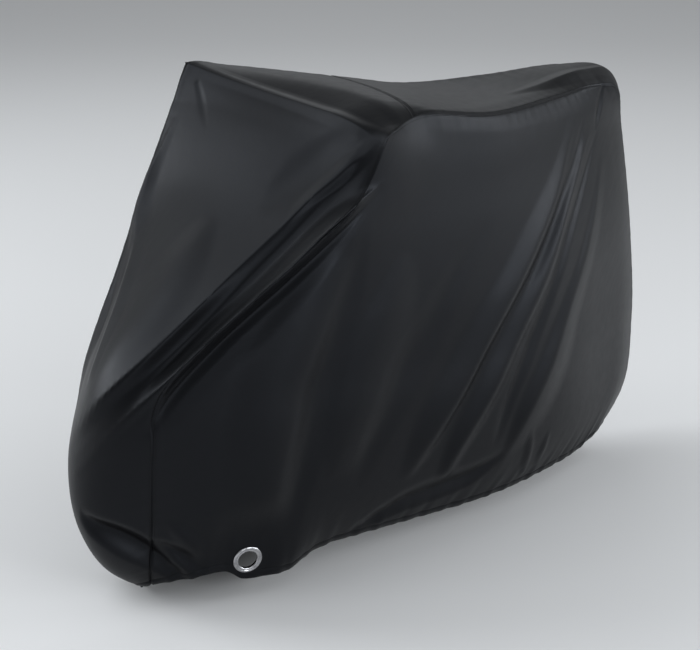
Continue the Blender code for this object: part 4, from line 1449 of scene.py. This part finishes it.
class Cover:
    """All four sheets, worked out together so that they share their seams."""

    def __init__(self, form: CoverForm, plan: GridPlan) -> None:
        """Works out the sheets in the table frame.

        Args:
            form: The form of the cloth.
            plan: The rows and columns of the sheets.
        """
        self.form = form
        self.plan = plan
        columns, rows = plan.columns(form), plan.rows()
        cross = int(np.argmin(np.abs(columns - form.share_of("cross seam", "bar", "saddle rear"))))
        climb = form.even_places("front hem", "bar", rows)
        top = form.even_places("bar", "saddle rear", columns)
        fall = form.even_places("saddle rear", "rear hem", 1 - rows[::-1])
        front = np.concatenate((climb, top[1 : cross + 1]))
        rear = np.concatenate((top[cross:], fall[1:]))
        self.near = self.side_sheet(Flank.NEAR, columns, rows)
        self.far = self.side_sheet(Flank.FAR, columns, rows)
        self.front = self.strip_sheet(front, plan.cells_front, Side.LAST_ROW, Side.FIRST_ROW)
        self.rear = self.strip_sheet(rear, plan.cells_rear, Side.FIRST_ROW, Side.LAST_ROW)
        sheets = [self.near, self.far, self.front, self.rear]
        share_directions(sheets)
        self.near.calm(form.plane)
        for sheet in sheets:
            sheet.settle()
        self.near.cut_round(form.plane, CLOTH_HOLE)

    def side_sheet(self, flank: Flank, columns: Array, rows: Array) -> ClothSheet:
        """One side panel, with seams all round but for its hem.

        Args:
            flank: The side of the bicycle on which it hangs.
            columns: Shares of its length.
            rows: Shares of its height.

        Returns:
            The panel.
        """
        along, up = np.meshgrid(columns, rows, indexing="ij")
        grid = self.form.cloth(self.form.side(flank, along, up))
        seams = [Side.FIRST_ROW, Side.LAST_ROW, Side.LAST_COLUMN]
        return ClothSheet(grid, -flank.outward, seams, [Side.FIRST_COLUMN])

    def strip_sheet(self, places: Array, cells: int, cross: Side, hem: Side) -> ClothSheet:
        """One part of the long strip, with a seam on each flank.

        Args:
            places: Distances along the strip's middle line.
            cells: How many cells it has from flank to flank.
            cross: The side at the cross seam.
            hem: The side that is hemmed.

        Returns:
            The panel.
        """
        along, across = np.meshgrid(places, graded(cells, self.plan.grading), indexing="ij")
        seams = [Side.FIRST_COLUMN, Side.LAST_COLUMN, cross]
        return ClothSheet(self.form.cloth(self.form.strip(along, across)), 1.0, seams, [hem])

    def build(self, shift: Array) -> None:
        """Adds the sheets with their stitches.

        Args:
            shift: The table frame's place in the model's own frame.
        """
        cloth, thread, topstitching = CoatedCloth().build(), THREAD.build(), Topstitching()
        rows = (
            ("near_side", self.near, SIDE_CUT, ("near_side_panel", "eyelet_tab")),
            ("far_side", self.far, SIDE_CUT, ("far_side_panel",)),
            ("front", self.front, FRONT_CUT, ("front_panel",)),
            ("rear", self.rear, REAR_CUT, ("rear_panel",)),
        )
        for name, sheet, cut, nodes in rows:
            mesh = sheet.to_mesh(f"{name}_cloth", shift)
            piece = add_piece(f"{name}_cloth", mesh, cloth, Slot.CLOTH, *nodes)
            stitches = topstitching.to_mesh(f"{name}_stitches", sheet, shift)
            sewn = add_piece(f"{name}_stitches", stitches, thread, Slot.CLOTH)


# --- Stitches -------------------------------------------------------------------------------------
@dataclass(frozen=True)
class Topstitching:
    """Lines of stitches: short threads, each a rod with narrow ends."""

    pitch: float = 0.0052
    length: float = 0.0038
    radius: float = 0.00045
    lift: float = 0.4  # how far a thread's middle stands off the cloth, in radii
    sides: int = 6
    # Each ring of corners: its place along the thread in lengths, and its width in radii.
    rings: tuple[tuple[float, float], ...] = (
        (-0.50, 0.35), (-0.36, 1.00), (0.36, 1.00), (0.50, 0.35),
    )

    def lines(self, sheet: ClothSheet) -> list[tuple[Array, Array]]:
        """The lines of stitches on a sheet: beside each seam, and at the top of each hem."""
        lines = [sheet.line(side, SEAM.stitching) for side in sheet.seams]
        return lines + [sheet.line(side, HEM.width) for side in sheet.hems]

    def rods(self, points: Array, outward: Array) -> tuple[Array, Array, Array]:
        """The stitches along one line.

        Args:
            points: Points along the line.
            outward: The way the cloth faces at each of them.

        Returns:
            The stitches' middles, their directions, and the way the cloth faces at each.
        """
        run = run_of(points)
        at = np.arange(self.pitch, run[-1] - self.pitch / 2, self.pitch)
        start = sampled(at - self.length / 2, run, points)
        end = sampled(at + self.length / 2, run, points)
        return (start + end) / 2, unit(end - start), unit(sampled(at, run, outward))

    def to_mesh(self, name: str, sheet: ClothSheet, shift: Array) -> bpy.types.Mesh:
        """All stitches of a sheet in one mesh: rings of corners round each thread, capped.

        Args:
            name: The mesh's name.
            sheet: The sheet.
            shift: The table frame's place in the model's own frame.

        Returns:
            The mesh.
        """
        rods = [self.rods(points, outward) for points, outward in self.lines(sheet)]
        middle, ahead, up = (np.concatenate(part) for part in zip(*rods))
        beside = unit(np.cross(up, ahead))
        turn = 2 * np.pi * np.arange(self.sides) / self.sides
        rings = np.array(self.rings)
        along = (rings[:, 0] * self.length)[:, None, None]
        width = (rings[:, 1] * self.radius)[:, None, None]
        local = np.concatenate(
            (
                np.broadcast_to(along, (len(rings), self.sides, 1)),
                width * np.cos(turn)[None, :, None],
                width * np.sin(turn)[None, :, None],
            ),
            axis=2,
        ).reshape(-1, 3)
        axes = np.stack((ahead, beside, unit(np.cross(ahead, beside))), axis=1)
        raised = middle + up * self.radius * self.lift
        corners = raised[:, None] + np.einsum("ck,nkx->ncx", local, axes)
        i = np.arange(self.sides)
        j = (i + 1) % self.sides
        quads = np.concatenate(
            [
                np.column_stack((i, j, j + self.sides, i + self.sides)) + ring * self.sides
                for ring in range(len(rings) - 1)
            ]
        )[:, ::-1]
        caps = np.array([i, (len(rings) - 1) * self.sides + i[::-1]])
        starts = np.arange(len(middle)) * len(local)
        sides = (quads[None] + starts[:, None, None]).reshape(-1, 4)
        ends = (caps[None] + starts[:, None, None]).reshape(-1, self.sides)
        return smooth_mesh(name, corners + shift, sides.tolist() + ends.tolist())


# --- Turned and drawn pieces ----------------------------------------------------------------------
def smooth_mesh(name: str, points: Array, faces: list[list[int]]) -> bpy.types.Mesh:
    """A mesh of the given corners and faces, shaded smooth.

    Args:
        name: The mesh's name.
        points: The corners, in an array whose last axis is X, Y and Z.
        faces: Each face's corners, anticlockwise seen from outside.

    Returns:
        The mesh.
    """
    mesh = bpy.data.meshes.new(name)
    mesh.from_pydata(points.reshape(-1, 3).tolist(), [], faces)
    mesh.shade_smooth()
    return mesh


def ring_mesh(
    name: str, profile: Array, plane: EyeletPlane, shift: Array, steps: int
) -> bpy.types.Mesh:
    """A ring turned about the eyelet's axis.

    Args:
        name: The mesh's name.
        profile: A closed loop of (radius, height) rows, anticlockwise with radius to the right.
        plane: The plane in which the ring sits.
        shift: The table frame's place in the model's own frame.
        steps: How many places round the ring the profile stands at.

    Returns:
        The mesh, closed and facing out.
    """
    turn = 2 * np.pi * np.arange(steps) / steps
    spokes = np.cos(turn)[:, None] * plane.along_hem + np.sin(turn)[:, None] * plane.upward
    points = profile[:, 0][None, :, None] * spokes[:, None]
    points = points + profile[:, 1][None, :, None] * plane.outward + plane.middle + shift
    index = np.arange(steps * len(profile)).reshape(steps, len(profile))
    after, beside = np.roll(index, -1, axis=0), np.roll(index, -1, axis=1)
    both = np.roll(after, -1, axis=1)
    quads = np.stack((index, after, both, beside), axis=-1).reshape(-1, 4)
    return smooth_mesh(name, points, quads.tolist())


def tube_mesh(name: str, centres: Array, radius: float, sides: int) -> bpy.types.Mesh:
    """A closed tube along a line of points, with a flat cap on each end.

    The tube's section is carried along without twist: each direction beside the line is the last
    one, less its part along the line.

    Args:
        name: The mesh's name.
        centres: Points along the middle of the tube.
        radius: The tube's radius.
        sides: How many corners its section has.

    Returns:
        The mesh.
    """
    ahead = unit(np.gradient(centres, axis=0))
    beside = np.empty_like(ahead)
    last = np.cross(ahead[0], (0.0, 0.0, 1.0)) + np.cross(ahead[0], (1.0, 0.0, 0.0))
    for i, direction in enumerate(ahead):
        last = unit(last - (last @ direction) * direction)
        beside[i] = last
    above = np.cross(ahead, beside)
    turn = 2 * np.pi * np.arange(sides) / sides
    rings = np.cos(turn)[:, None] * beside[:, None] + np.sin(turn)[:, None] * above[:, None]
    points = centres[:, None] + radius * rings
    index = np.arange(len(centres) * sides).reshape(len(centres), sides)
    after = np.roll(index, -1, axis=1)
    quads = np.stack((index[:-1], after[:-1], after[1:], index[1:]), axis=-1).reshape(-1, 4)
    caps = [index[0, ::-1].tolist(), index[-1].tolist()]
    mesh = smooth_mesh(name, points, quads.tolist() + caps)
    mesh.set_sharp_from_angle(angle=RIM_ANGLE)
    return mesh


@dataclass(frozen=True)
class EyeletHardware:
    """The lock eyelet with its domed flange and curled lip, and the washer behind the cloth.

    Radii are measured from the hole's middle, and heights from the middle of the cloth.
    """

    bore: float = 0.0215  # radius of the hole
    flange: float = 0.0335  # outer radius of the flange
    seat: float = 0.0009  # height of the flange's underside
    edge: float = 0.0013  # height of its widest point
    dome: float = 0.0036  # rise of the dome above that
    line: float = 0.0265  # radius of the pressed line round the flange
    line_depth: float = 0.0011
    line_half: float = 0.0013  # half the line's width
    barrel: float = 0.0228  # outer radius of the barrel
    lip: float = 0.0263  # outer radius of the curled lip
    lip_face: float = -0.0024  # height of the lip's widest point
    curl: float = 0.0011  # how far the lip curls down from there
    flange_inset: float = 0.0006  # how far inside the flange's edge its underside ends
    lip_inset: float = 0.0004  # how far inside the lip's edge its upper side ends
    lip_rise: float = 0.0002  # and how far above its widest point
    washer_bore: float = 0.0235
    washer_rim: float = 0.0310
    washer_face: float = -0.0009
    washer_back: float = -0.0021
    dome_steps: int = 49
    lip_steps: int = 11
    washer_steps: int = 7
    steps: int = 144

    def eyelet_profile(self) -> Array:
        """The eyelet in section, as (radius, height) rows.

        Half an ellipse for the flange, with a bell-shaped groove for its line, half an ellipse
        below for the lip, and straight lines between them round the barrel.

        Returns:
            The rows, in a closed loop.
        """
        turn = np.linspace(0, np.pi, self.dome_steps)
        middle, half = (self.flange + self.bore) / 2, (self.flange - self.bore) / 2
        radius = middle + half * np.cos(turn)
        line = self.line_depth * np.exp(-(((radius - self.line) / self.line_half) ** 2))
        height = self.edge + self.dome * np.sin(turn) - line * np.sin(turn)
        flange = np.column_stack((radius, height))
        turn = np.linspace(np.pi, 2 * np.pi, self.lip_steps)
        middle, half = (self.lip + self.bore) / 2, (self.lip - self.bore) / 2
        height = self.lip_face + self.curl * np.sin(turn)
        lip = np.column_stack((middle + half * np.cos(turn), height))
        inner = (
            (self.lip - self.lip_inset, self.lip_face + self.lip_rise),
            (self.barrel, self.lip_face + self.lip_rise),
            (self.barrel, self.seat),
            (self.flange - self.flange_inset, self.seat),
        )
        return np.concatenate((flange, lip, inner))

    def washer_profile(self) -> Array:
        """The washer in section, as (radius, height) rows: flat, with half circles for its edges.

        Returns:
            The rows, in a closed loop.
        """
        middle = (self.washer_face + self.washer_back) / 2
        half = (self.washer_face - self.washer_back) / 2
        turn = np.linspace(-np.pi / 2, np.pi / 2, self.washer_steps)
        across, height = half * np.cos(turn), half * np.sin(turn)
        outer = np.column_stack((self.washer_rim - half + across, middle + height))
        inner = np.column_stack((self.washer_bore + half - across, middle - height))
        return np.concatenate((outer, inner))

    def build(self, plane: EyeletPlane, shift: Array) -> None:
        """Adds the eyelet and its washer.

        Args:
            plane: The plane in which the eyelet sits.
            shift: The table frame's place in the model's own frame.
        """
        metal = PlatedMetal().build()
        rows = (
            ("lock_eyelet", self.eyelet_profile(), "eyelet"),
            ("lock_washer", self.washer_profile(), "eyelet_washer"),
        )
        for name, profile, node in rows:
            mesh = ring_mesh(name, profile, plane, shift, self.steps)
            add_piece(name, mesh, metal, Slot.METAL, node)


@dataclass(frozen=True)
class ElasticKnot:
    """The overhand knot in the hem's elastic, with its short ends."""

    cord: float = 0.0029  # radius of the cord
    spread: float = 0.0036  # the knot's size for each unit of its formula
    ends: float = 2.06  # the formula's t at the cord's ends
    lift: float = 1.2  # centres the formula's second part
    flattening: float = 0.75  # of the formula's second part
    shares: Point = (1.0, 0.8, 0.9)  # of the knot's size downward, outward and sideways
    rows_above: int = 8  # rows above the hem's edge by which the knot hangs as the cloth does
    steps: int = 260
    sides: int = 14

    def centre_line(self, middle: Array, down: Array, outward: Array) -> Array:
        """The cord's middle line: the open trefoil (t^3 - 3t, t^4 - 4t^2, t^5 / 5 - 2t).

        Args:
            middle: The middle of the knot.
            down: The way its free end hangs.
            outward: The way the cloth faces there.

        Returns:
            Points along the line.
        """
        t = np.linspace(-self.ends, self.ends, self.steps)
        beside = unit(np.cross(down, outward))
        second = (t**4 - 4 * t**2 + self.lift) * self.flattening
        curve = np.column_stack((t**3 - 3 * t, second, t**5 / 5 - 2 * t))
        axes = np.stack((down, outward, beside))
        return middle + self.spread * (curve * self.shares) @ axes

    def build(self, front: ClothSheet) -> None:
        """Adds the knot where the model has it, hanging as the front hem does there.

        Args:
            front: The front panel.
        """
        low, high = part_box("hem_cord_knot")
        middle = (np.array(low) + np.array(high)) / 2
        centre = front.grid.shape[1] // 2
        down = unit(front.grid[0, centre] - front.grid[self.rows_above, centre])
        line = self.centre_line(middle, down, front.outward[0, centre])
        tube = tube_mesh("elastic_knot", line, self.cord, self.sides)
        add_piece("elastic_knot", tube, WovenElastic().build(), Slot.ELASTIC, "hem_cord_knot")


# --- Light and camera -----------------------------------------------------------------------------
class Lamp(NamedTuple):
    """A rectangular soft lamp in the table frame, turned towards the cover."""

    name: str
    at: Point
    width: float
    height: float
    watts: float


LAMPS = (
    Lamp("front lamp", (0.0, -6.0, 2.05), 2.4, 1.8, 100.0),
    Lamp("front right lamp", (3.0, -5.2, 2.05), 2.4, 1.8, 92.0),
    Lamp("front left lamp", (-3.0, -5.2, 2.05), 2.4, 1.8, 25.0),
    Lamp("right lamp", (5.2, -3.0, 2.05), 2.4, 1.8, 88.0),
    Lamp("high right lamp", (5.0, 0.0, 3.85), 2.4, 1.8, 10.0),
    Lamp("tail lamp", (3.5, 4.1, 3.20), 2.4, 1.8, 11.0),
    Lamp("back lamp", (0.0, 4.97, 3.90), 2.4, 2.4, 16.0),
    Lamp("back left lamp", (-3.5, 3.5, 3.90), 2.4, 2.4, 60.0),
    Lamp("high back lamp", (-2.4, 2.4, 5.50), 2.4, 2.4, 34.0),
    Lamp("high left lamp", (-3.35, 0.0, 5.50), 2.4, 2.4, 36.0),
    Lamp("low left lamp", (-3.5, 4.9, 2.05), 2.4, 1.8, 90.0),
)


COOL_LIGHT = (0.94, 0.97, 1.0)  # the lamps' colour, a little blue


@dataclass(frozen=True)
class Studio:
    """The floor, the lamps, the pale surroundings and the camera."""

    ambient: float = 0.33  # strength of the even light from all round
    floor_side: float = 60.0
    floor_below: float = 0.004  # how far the floor lies below the lowest part of the cover
    aim: Point = (0.0, 0.0, 0.55)  # what the lamps are turned towards, in the table frame
    azimuth: float = -40.0  # degrees from straight in front of the near flank
    elevation: float = 17.5  # degrees above level
    distance: float = 4.7025  # from the camera to its target
    lens: float = 102.02
    sensor: float = 36.0
    target_beside: float = -0.11495  # the target's place to the right of the table frame's origin
    target_up: float = 0.51205  # and above it

    def build(self, lowest: float, shift: Array) -> None:
        """Sets up the floor, the light and the camera.

        Args:
            lowest: The height of the cover's lowest part, in the model's own frame.
            shift: The table frame's place in the model's own frame.
        """
        self.lay_floor(np.array((shift[0], shift[1], lowest - self.floor_below)))
        self.hang_lamps(shift)
        self.surround()
        self.place_camera(shift)

    def lay_floor(self, ground: Array) -> bpy.types.Object:
        """Lays the floor.

        Args:
            ground: The middle of the floor.

        Returns:
            The floor.
        """
        half = self.floor_side / 2
        corners = np.array([(-half, -half, 0), (half, -half, 0), (half, half, 0), (-half, half, 0)])
        mesh = bpy.data.meshes.new("studio_floor")
        mesh.from_pydata((ground + corners).tolist(), [], [(0, 1, 2, 3)])
        mesh.materials.append(PaleFloor().build())
        return link_piece("studio_floor", mesh)

    def hang_lamps(self, shift: Array) -> None:
        """Adds the lamps, each turned towards the cover.

        Args:
            shift: The table frame's place in the model's own frame.
        """
        for lamp in LAMPS:
            light = bpy.data.lights.new(lamp.name, "AREA")
            light.shape = "RECTANGLE"
            light.size, light.size_y = lamp.width, lamp.height
            light.energy = lamp.watts
            light.color = COOL_LIGHT
            holder = bpy.data.objects.new(lamp.name, light)
            holder.location = Vector(np.array(lamp.at) + shift)
            way = Vector(self.aim) - Vector(lamp.at)
            holder.rotation_euler = way.to_track_quat("-Z", "Y").to_euler()
            bpy.context.scene.collection.objects.link(holder)

    def surround(self) -> None:
        """Sets the even pale light from all round."""
        world = bpy.data.worlds.new("studio_air")
        world.use_nodes = True
        background = world.node_tree.nodes["Background"]
        background.inputs["Color"].default_value = (*COOL_LIGHT, 1.0)
        background.inputs["Strength"].default_value = self.ambient
        bpy.context.scene.world = world
        bpy.context.scene.view_settings.view_transform = "Standard"

    def place_camera(self, shift: Array) -> None:
        """Puts the camera where it sees the cover from the front left and a little above.

        Args:
            shift: The table frame's place in the model's own frame.
        """
        turn, rise = np.radians(self.azimuth), np.radians(self.elevation)
        back = np.array((np.sin(turn) * np.cos(rise), -np.cos(turn) * np.cos(rise), np.sin(rise)))
        right = np.array((np.cos(turn), np.sin(turn), 0.0))
        target = self.target_beside * right + np.array((0.0, 0.0, self.target_up)) + shift
        data = bpy.data.cameras.new("studio_camera")
        data.sensor_width = self.sensor
        data.lens = self.lens
        camera = bpy.data.objects.new("studio_camera", data)
        camera.location = Vector(target + self.distance * back)
        camera.rotation_euler = Vector(back).to_track_quat("Z", "Y").to_euler()
        bpy.context.scene.collection.objects.link(camera)
        bpy.context.scene.camera = camera


# --- Putting it together --------------------------------------------------------------------------
class Slot(Enum):
    """The record's material slots."""

    CLOTH = "coated_cloth"
    METAL = "bright_metal"
    ELASTIC = "black_elastic"


def link_piece(name: str, mesh: bpy.types.Mesh) -> bpy.types.Object:
    """Adds one object to the scene at the origin.

    Args:
        name: The object's name.
        mesh: Its mesh.

    Returns:
        The object.
    """
    piece = bpy.data.objects.new(name, mesh)
    bpy.context.scene.collection.objects.link(piece)
    return piece


def add_piece(
    name: str, mesh: bpy.types.Mesh, finish: bpy.types.Material, slot: Slot, *nodes: str
) -> bpy.types.Object:
    """Adds one piece of the cover.

    Args:
        name: The piece's name.
        mesh: Its mesh, with its place in its corners.
        finish: Its material.
        slot: The record's material slot for the piece; not used.
        *nodes: The model's nodes that it stands for.

    Returns:
        The piece.
    """
    mesh.materials.append(finish)
    piece = link_piece(name, mesh)
    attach(piece, "root")
    if nodes:
        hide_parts(*nodes)
    LOG.info("%s: %d faces", name, len(mesh.polygons))
    return piece


def main() -> None:
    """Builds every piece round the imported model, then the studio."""
    logging.basicConfig(level=logging.INFO, format="%(name)s: %(message)s")
    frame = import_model()
    plane = EyeletPlane.from_facing(EYELET_AT, TAB_FACING)
    mounts = {mount["name"]: mount for mount in frame["record"]["mounts"]}
    shift = plane.shift_to(mounts["eyelet_front"])
    cover = Cover(CoverForm(plane), GridPlan())
    LOG.info("sheets worked out")
    cover.build(shift)
    EyeletHardware().build(plane, shift)
    ElasticKnot().build(cover.front)
    Studio().build(min(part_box(node)[0].z for node in frame["nodes"]), shift)


if __name__ == "__main__":
    main()
